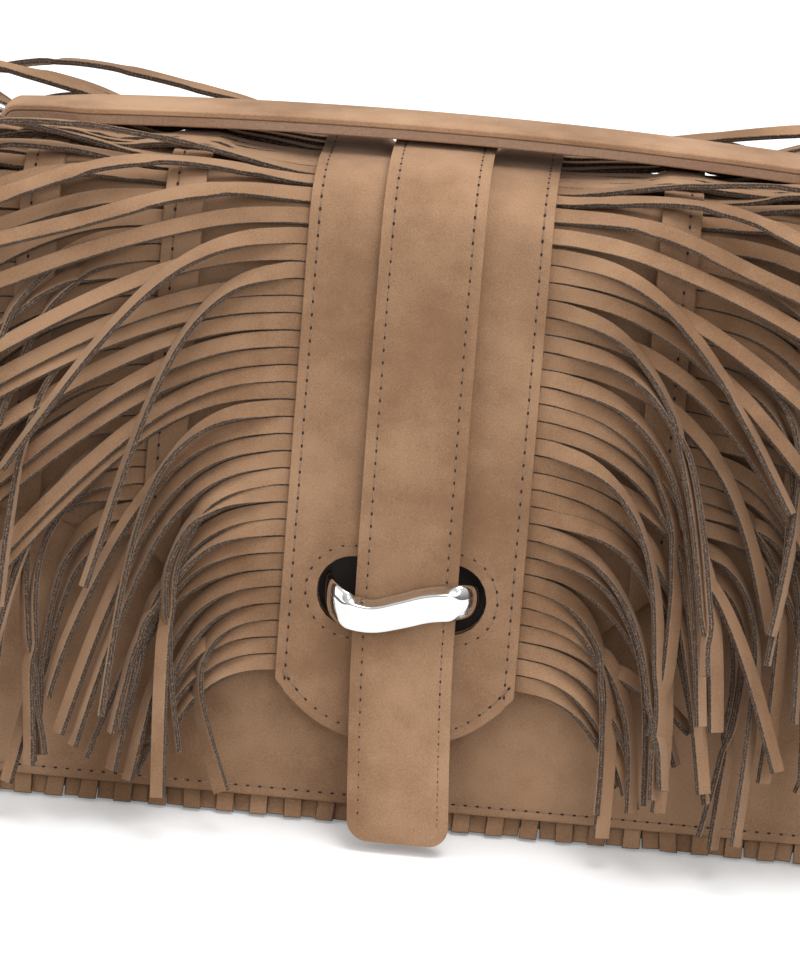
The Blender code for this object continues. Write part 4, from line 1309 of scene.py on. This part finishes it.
def keep_clear(paths, forward):
    """Keeps strips off the bag, the handle, the rings and the floor."""
    flat = paths.reshape(-1, 3)
    _, lifts, normal = nearest_run(flat)
    soft = softness(flat[:, 0], np.clip(flat[:, 2], 0, BODY_HEIGHT)) * (flat[:, 1] < 0)
    rise = np.tile(np.linspace(0, 1, POINTS), len(paths))
    least = lowest_lift(flat, FRINGE_LIFT + np.minimum(1.0, rise * 6) * 0.5 * MM) + soft
    short = np.where(np.abs(flat[:, 0]) < half_width(flat[:, 2]) + 3 * MM, np.maximum(0, least - lifts), 0)
    flat[:, 1] += short * normal[:, 0]
    flat[:, 2] += short * normal[:, 1]
    below = (np.abs(flat[:, 1]) < HANDLE_ZONE) & (flat[:, 2] > HANDLE_ZONE_HEIGHT)
    below &= np.abs(flat[:, 0]) < SPREAD
    flat[:, 2] = np.where(below, np.minimum(flat[:, 2], handle_ceiling(flat[:, 0], flat[:, 1])), flat[:, 2])
    ring = (np.abs(flat[:, 0]) > RING_ZONE) & (np.abs(flat[:, 0]) < RING_ZONE_END)
    ring &= (flat[:, 2] > RING_ZONE_HEIGHT) & (np.abs(flat[:, 1]) < UNDER_HANDLE)
    flat[:, 1] = np.where(ring, -forward * UNDER_HANDLE, flat[:, 1])
    flat[:, 2] = np.maximum(flat[:, 2], LOWEST_MIDDLE)
    return flat.reshape(paths.shape)


def relax(strips, side, rounds):
    """Pushes strips apart, off the bag and off the floor."""
    paths = []
    for strip in strips:
        x = ROW_ROOTS[strip["row"]] + strip["out"]
        past = np.maximum(0, x - half_width(BODY_HEIGHT) - 3 * MM)
        paths.append(on_flap(side * x, strip["root"] + strip["down"],
                             FRINGE_LIFT + strip["lift"] - SIDE_FALL * past ** 2))
    paths = np.array(paths)
    drawn = paths.copy()
    owner = np.repeat(np.arange(len(strips)), POINTS)
    step = np.array([s["length"] for s in strips]) / (POINTS - 1)
    hold = np.linspace(0.34, 0.03, POINTS)[None, :, None]
    forward = np.array([1.0 if s["root"] > 0 else -1.0 for s in strips]).repeat(POINTS)
    for turn in range(rounds):
        tangent, face, width = frames(paths, strips)
        if turn % 5 == 0:
            i, j = close_pairs(paths.reshape(-1, 3), owner, 6 * MM)
        paths = push_apart(paths, tangent, width, i, j)
        paths[:, 3:] += hold[:, 3:] * (drawn[:, 3:] - paths[:, 3:]) * 0.5
        smooth = (paths[:, :-2] + paths[:, 2:]) / 2
        paths[:, 2:-1] += 0.35 * (smooth[:, 1:] - paths[:, 2:-1])
        paths = keep_clear(paths, forward)
        paths[:, :2] = drawn[:, :2]
        for k in range(1, POINTS - 1):
            ahead = paths[:, k + 1] - paths[:, k]
            size = np.linalg.norm(ahead, axis=-1, keepdims=True)
            paths[:, k + 1] = paths[:, k] + ahead / size * step[:, None]
    tangent, face, width = frames(paths, strips)
    hanging = np.abs(width[..., 2]) * STRIP_WIDTH / 2
    lowest = paths[..., 2] - hanging - np.abs(face[..., 2]) * STRIP_THICKNESS / 2
    paths[..., 2] += np.maximum(0, 0.3 * MM - lowest)
    return paths


# %% Fringe tree
def build_strip_tree():
    sizes = [("Width", "NodeSocketFloat", STRIP_WIDTH), ("Thickness", "NodeSocketFloat", STRIP_THICKNESS),
             ("Leather", "NodeSocketMaterial", None)]
    board, given = group("leather_strips", sizes)
    curve = board.add("GeometryNodeMeshToCurve", {}, {"Mesh": given["Geometry"]})["Curve"]
    across = board.add("GeometryNodeInputNamedAttribute", {"data_type": "FLOAT_VECTOR"},
                       {"Name": "across"})[0]
    turned = board.add("GeometryNodeSetCurveNormal", {"mode": "FREE"},
                       {"Curve": curve, "Normal": across})["Curve"]
    outline = board.add("GeometryNodeCurvePrimitiveQuadrilateral", {},
                        {"Width": given["Width"], "Height": given["Thickness"]})[0]
    outline = board.add("GeometryNodeFilletCurve", {}, {"Curve": outline, "Radius": 0.22 * MM,
                                                        "Limit Radius": True})[0]
    place = board.add("GeometryNodeInputPosition")[0]
    size = board.add("ShaderNodeCombineXYZ", {},
                     {0: given["Width"] * 0.5, 1: given["Thickness"] * 0.5, 2: 1.0})[0]
    section = board.add("ShaderNodeVectorMath", {"operation": "DIVIDE"}, {0: place, 1: size})[0]
    outline = board.add("GeometryNodeStoreNamedAttribute", {"data_type": "FLOAT_VECTOR", "domain": "POINT"},
                        {"Geometry": outline, "Name": "section", "Value": section})[0]
    solid = board.add("GeometryNodeCurveToMesh", {}, {"Curve": turned, "Profile Curve": outline,
                                                      "Fill Caps": True})[0]
    smooth = board.add("GeometryNodeSetShadeSmooth", {}, {0: solid})[0]
    real = board.add("GeometryNodeRealizeInstances", {}, {0: smooth})[0]
    return close_group(board, board.add("GeometryNodeSetMaterial", {}, {"Geometry": real,
                                                                        "Material": given["Leather"]})[0])


STRIP_TREE = build_strip_tree()


def smooth_line(points, count):
    """More points on the same curve, by cubic interpolation."""
    n = len(points)
    t = np.linspace(0, n - 1, count)
    k = np.clip(t.astype(int), 0, n - 2)
    f = (t - k)[:, None]
    before = points[np.maximum(k - 1, 0)]
    a, b = points[k], points[k + 1]
    after = points[np.minimum(k + 2, n - 1)]
    return 0.5 * ((2 * a) + (b - before) * f + (2 * before - 5 * a + 4 * b - after) * f ** 2
                  + (3 * a - before - 3 * b + after) * f ** 3)


def strips_object(name, paths, widths, tones, thickness=STRIP_THICKNESS, width=STRIP_WIDTH):
    """Turns strip lines into leather strips."""
    lines = []
    for path, across, tone in zip(paths, widths, tones):
        count = max(12, int(len(path) * 1.5))
        points = smooth_line(path, count)
        vectors = smooth_line(across, count)
        lines.append({"points": points, "across": vectors, "along": np.linspace(0, 1, count),
                      "tone": np.full(count, tone)})
    obj = line_object(name, lines, {"across": "FLOAT_VECTOR", "along": "FLOAT", "tone": "FLOAT"})
    run_group(obj, STRIP_TREE, {"Width": width, "Thickness": thickness, "Leather": SUEDE_FRINGE})
    obj.data.set_sharp_from_angle(angle=math.radians(40))
    print(name, len(lines), "strips", len(obj.data.polygons), "faces")
    return obj


# %% Hang the fringe
for side, word in ((-1, "left"), (1, "right")):
    strips = plan_side(side)
    paths = relax(strips, side, ROUNDS)
    tangent, face, width = frames(paths, strips)
    for row in range(3):
        chosen = [k for k, strip in enumerate(strips) if strip["row"] == row]
        tones = np.clip(0.5 + 0.25 * chance.normal(size=len(chosen)), 0, 1)
        obj = strips_object(f"fringe_{word}_row_{row + 1}", paths[chosen], width[chosen], tones)
        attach(obj, BAG)
        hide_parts(f"fringe_{word}_{row + 1}")

# %% [markdown]
# ## The short fringe along the base
#
# A row of short strips is caught under the lower edge of the front and of the back. They hang close
# together, every other one a little behind its neighbours, and lean a little this way and that.

# %% Base fringe
SHORT_TOP = 13 * MM
SHORT_LENGTH = 12.1 * MM
SHORT_THICKNESS = 1.25 * MM
SHORT_WIDTH = 4.75 * MM


def base_fringe(name, direction, node):
    count = int(2 * (TRAY_HALF_WIDTH - MM) / STRIP_PITCH)
    leans = drift(count + 1, 2)
    paths, widths = [], []
    for k in range(count + 1):
        x = (k - count / 2) * STRIP_PITCH
        lean = (0.5 * leans[k] + 0.22 * chance.normal()) * MM
        behind = 1.4 * MM * (k % 2)
        twist = math.radians(4) * chance.normal()
        path, across = [], []
        for part in np.linspace(0, 1, 10):
            low = max(0.0, (part - 0.45) / 0.55)
            y = TRAY_HALF_DEPTH + 2.5 * MM - behind + 2.2 * MM * low ** 1.7
            z = SHORT_TOP - SHORT_LENGTH * part
            path.append((x + lean * low ** 1.3, direction * y, z))
            across.append((math.cos(twist * low), direction * math.sin(twist * low), 0.0))
        paths.append(np.array(path))
        widths.append(np.array(across))
    tones = np.clip(0.45 + 0.25 * chance.normal(size=len(paths)), 0, 1)
    obj = strips_object(name, paths, widths, tones, SHORT_THICKNESS, SHORT_WIDTH)
    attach(obj, BAG)
    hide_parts(node)


base_fringe("base_fringe_front", -1, "edge_fringe_front")
base_fringe("base_fringe_back", 1, "edge_fringe_back")

# %% [markdown]
# ## The lock loop
#
# A polished metal loop stands out of the slot, and the strap runs behind it. Seen from the front its bar is
# a lazy S: it comes out of the slot at the left, sweeps down, then up to the right, and goes back in. Its
# front is one flat polished face, left bare. Above the face the bar slopes back to the strap, and its ends
# are round. The section is laid out at a few places and carried along the spine. Behind the slot a thin
# near-black patch paints the shade inside the slot.

# %% Lock loop
LOOP_X = np.array([-19.0, -19.2, -17.2, -13.2, -7.0, 0.0, 7.0, 13.4, 17.6, 19.2, 19.0]) * MM
LOOP_UP = np.array([2.2, 0.6, -2.0, -4.2, -4.9, -3.0, -0.7, 0.3, 0.7, 0.8, 0.8]) * MM
LOOP_OUT = np.array([-2.0, 3.0, 7.6, 10.0, 10.5, 10.6, 10.6, 10.2, 8.0, 3.4, -2.0]) * MM
LOOP_HALF_HIGH = np.array([3.0, 3.7, 4.4, 4.7, 4.6, 4.8, 4.9, 4.9, 4.5, 3.6, 3.0]) * MM
LOOP_HALF_DEEP = np.array([1.5, 1.6, 1.9, 1.9, 1.8, 1.8, 1.8, 1.9, 2.0, 1.7, 1.5]) * MM
FACE_FROM, FACE_TO, FACE_RAMP = 0.285, 0.715, 0.07
BOXY = [(-0.97, 0.62), (-0.93, 0.88), (-0.86, 1.0), (-0.45, 1.0), (0.0, 1.0), (0.40, 1.0), (0.50, 0.97),
        (0.555, 0.86), (0.62, 0.60), (0.70, 0.22), (0.80, -0.25), (0.90, -0.70), (0.86, -0.93), (0.70, -1.0),
        (0.0, -1.0), (-0.70, -1.0), (-0.88, -0.90), (-0.97, -0.60), (-1.0, 0.0)]


def lock_bar():
    stages = np.linspace(0, 1, 81)
    keys = np.stack([LOOP_X, LOOP_UP, LOOP_OUT, LOOP_HALF_HIGH, LOOP_HALF_DEEP], axis=1)
    spine = smooth_line(keys, len(stages))
    centre = on_flap(spine[:, 0], LOCK_RUN - spine[:, 1], spine[:, 2])
    tangent = np.gradient(centre, axis=0)
    tangent /= np.linalg.norm(tangent, axis=1, keepdims=True)
    up = np.array([0.0, math.sin(LEAN), math.cos(LEAN)])
    box = smooth_line(np.array(BOXY + BOXY[:1]), 96)[:-1]
    around = np.arctan2(box[:, 0], box[:, 1])
    oval = np.stack([np.sin(around), np.cos(around)], axis=1)
    rows = []
    for stage, point, along, (*_, half_high, half_deep) in zip(stages, centre, tangent, spine):
        high = up - along * up.dot(along)
        high /= np.linalg.norm(high)
        front = np.cross(along, high)
        flat = float(ease((stage - FACE_FROM) / FACE_RAMP + 0.5) * ease((FACE_TO - stage) / FACE_RAMP + 0.5))
        section = oval + (box - oval) * flat
        rows.append([point + high * a * half_high + front * b * half_deep for a, b in section])
    rows = np.array(rows)
    faces = wall_faces(*rows.shape[:2]) + end_faces(*rows.shape[:2])
    obj = new_piece("lock_bar", rows.reshape(-1, 3), faces, POLISHED)
    obj.data.set_sharp_from_angle(angle=math.radians(22))
    return obj


# A thin near-black patch behind the slot: painted shade for the inside of the slot.
slot_shade_patch = slot_plug("painted_slot_shade", 1.5 * MM, -0.75 * MM, -0.15 * MM)
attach(slot_shade_patch, BAG)
lock = lock_bar()
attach(lock, BAG)
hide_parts("lock_loop")

# %% [markdown]
# ## Handle, rings and tabs
#
# The handle is a thick strap: napped leather above, with a seam near each edge, and smooth leather below
# and on its sides. Each end narrows, goes round its ring and comes back underneath. The rings are round
# wire, and a folded tab on each end of the bag holds one.

# %% Handle line
def handle_side():
    """Right half of the handle's underside and its end: x, z, half width and share of the full thickness."""
    rows = []
    for x in fine(0, SPREAD - 6 * MM, 3 * MM):
        rise = HANDLE_RISE * (1 - (x / SPREAD) ** 2)
        narrow = ease((x / SPREAD - 0.82) / 0.12)
        wide = HANDLE_HALF_WIDTH + (HANDLE_END_HALF_WIDTH - HANDLE_HALF_WIDTH) * narrow
        rows.append((x, END_CEILING + rise, float(wide), 1.0))
    for turn in range(90, -91, -15):
        angle = math.radians(turn)
        share = 0.5 + 0.5 * float(ease((turn - 30) / 60))
        rows.append((SPREAD + END_ROUND * math.cos(angle),
                     END_FLOOR + END_ROUND + END_ROUND * math.sin(angle),
                     HANDLE_END_HALF_WIDTH, share))
    for x in fine(SPREAD, END_REACH - HANDLE_RETURN_LENGTH, 1.5 * MM)[1:]:
        rows.append((x, END_FLOOR, HANDLE_END_HALF_WIDTH, 0.5))
    return rows


HALF = handle_side()
LINE = [(-x, z, wide, share) for x, z, wide, share in reversed(HALF[1:])] + HALF
centre = np.array([(x, z) for x, z, _, _ in LINE])
along = np.gradient(centre, axis=0)
along /= np.linalg.norm(along, axis=1, keepdims=True)
upward = np.stack([-along[:, 1], along[:, 0]], axis=1)
FACE_SHARE = 0.36
HANDLE_STITCH_INSET = 2.3 * MM


def handle_layer(name, low, high, material, inset, edge):
    """One layer of the handle between two shares of its thickness."""
    parts = mirrored([0, 0.3, 0.6, 0.72, 0.78, 0.84, 0.92, 1.0])
    points = []
    for (x, z, wide, share), (ux, uz) in zip(LINE, upward):
        below, above = [], []
        seamed = high == 1.0 and share > 0.9
        for part in parts:
            y = part * (wide - inset)
            dip = press(abs(y) - (wide - HANDLE_STITCH_INSET), 0.18 * MM) if seamed else 0.0
            crown = 0.6 * MM * (1 - part ** 4) if high == 1.0 else 0.0
            for row, level, extra in ((below, low, 0.0), (above, high, crown - dip)):
                off = level * share * HANDLE_THICKNESS + extra
                row.append((x + ux * off, y, z + uz * off))
        points += below + above[::-1]
    cols, ring = len(parts), 2 * len(parts)
    faces = wall_faces(len(LINE), ring)
    for start in (0, (len(LINE) - 1) * ring):
        for j in range(cols - 1):
            faces.append((start + j, start + ring - 1 - j, start + ring - 2 - j, start + j + 1))
    obj = new_piece(name, points, faces, material)
    round_edges(obj, edge)
    finish_mesh(obj)
    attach(obj, HANDLE)
    print(name, len(obj.data.polygons), "faces")
    return obj


handle_core = handle_layer("handle_smooth_leather", 0.0, 1.0 - FACE_SHARE, SMOOTH_LEATHER,
                           0.25 * MM, 0.5 * MM)
handle_face = handle_layer("handle_suede", 1.0 - FACE_SHARE, 1.0, SUEDE_HANDLE, 0.0, 0.45 * MM)
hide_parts("handle_strap")

handle_seams = []
main = [k for k, row in enumerate(LINE)
        if row[3] == 1.0 and abs(row[0]) < SPREAD - 4 * MM and row[1] > END_CEILING]
for side in (-1, 1):
    points, ups = [], []
    for k in main:
        x, z, wide, share = LINE[k]
        off = HANDLE_THICKNESS - 0.10 * MM
        points.append((x + upward[k][0] * off, side * (wide - HANDLE_STITCH_INSET), z + upward[k][1] * off))
        ups.append((upward[k][0], 0.0, upward[k][1]))
    handle_seams.append({"points": np.array(points), "up": np.array(ups)})
stitch("handle_stitches", handle_seams, HANDLE)

# %% Rings and tabs
RING_STEPS, WIRE_STEPS = 64, 16
for direction, word in ((-1, "left"), (1, "right")):
    across_x = RING_INNER[0] + RING_RADIUS * math.cos(RING_TILT)
    height = RING_INNER[1] + RING_RADIUS * math.sin(RING_TILT)
    points = []
    for turn in np.linspace(0, 2 * math.pi, RING_STEPS, endpoint=False):
        for part in np.linspace(0, 2 * math.pi, WIRE_STEPS, endpoint=False):
            radius = RING_RADIUS + RING_WIRE * math.cos(part)
            out, side_way = radius * math.cos(turn), radius * math.sin(turn)
            thick = RING_WIRE * math.sin(part)
            x = across_x + out * math.cos(RING_TILT) - thick * math.sin(RING_TILT)
            z = height + out * math.sin(RING_TILT) + thick * math.cos(RING_TILT)
            points.append((direction * x, side_way, z))
    faces = wall_faces(RING_STEPS, WIRE_STEPS, closed=True)
    ring_obj = new_piece("ring_wire_" + word, points, faces, DARK_RING)
    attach(ring_obj, "ring_" + word)
    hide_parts("ring_" + word)

TAB_HALF_WIDTH = 5 * MM
TAB_THICKNESS = 2.0 * MM
TAB_FOOT = 128 * MM
RING_OUTER = (RING_INNER[0] + 2 * RING_RADIUS * math.cos(RING_TILT),
              RING_INNER[1] + 2 * RING_RADIUS * math.sin(RING_TILT))
TAB_INNER = RING_OUTER[0] - ring_bow(TAB_HALF_WIDTH) - RING_PLAY
TAB_OUTER = RING_OUTER[0] + RING_WIRE + RING_PLAY
TAB_ROUND = (TAB_OUTER - TAB_INNER) / 2
TAB_LEG = TAB_THICKNESS + 0.3 * MM


def tab_line():
    """The side of the tab that faces the ring."""
    points = [(half_width(TAB_FOOT) + TAB_LEG, TAB_FOOT), (half_width(BODY_HEIGHT) + TAB_LEG, BODY_HEIGHT)]
    points += [(TAB_INNER, RING_OUTER[1] - 8 * MM), (TAB_INNER, RING_OUTER[1])]
    for turn in range(165, -1, -15):
        angle = math.radians(turn)
        points.append((TAB_INNER + TAB_ROUND + TAB_ROUND * math.cos(angle),
                       RING_OUTER[1] + TAB_ROUND * math.sin(angle)))
    points += [(TAB_OUTER, RING_OUTER[1] - 4 * MM)]
    points += [(half_width(BODY_HEIGHT) + TAB_LEG + 0.6 * MM, BODY_HEIGHT + 8 * MM)]
    points += [(half_width(TAB_FOOT) + TAB_LEG + 0.3 * MM, TAB_FOOT + 6 * MM)]
    return points


TAB = tab_line()
for direction, word in ((-1, "left"), (1, "right")):
    def tab_place(i, part, direction=direction):
        return (direction * TAB[i][0], direction * part * TAB_HALF_WIDTH, TAB[i][1])
    tab = formed_sheet("ring_tab_leather_" + word, range(len(TAB)), fine(-1, 1, 0.25), tab_place,
                       TAB_THICKNESS, SMOOTH_LEATHER, 0.4 * MM, outside=False)
    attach(tab, BAG)
    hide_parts("ring_tab_" + word)

# %% [markdown]
# ## Pieces that keep their CAD shape
#
# The stiff board in the base and the plate behind the lock are plain shapes in the real bag too. They keep
# the solids' shapes and only get their finish.

# %% Finishes on the solids
for node, material in (("base_board", BOARD), ("lock_plate", DARK_RING)):
    obj = frame["nodes"][node]
    obj.data.materials.clear()
    obj.data.materials.append(material)
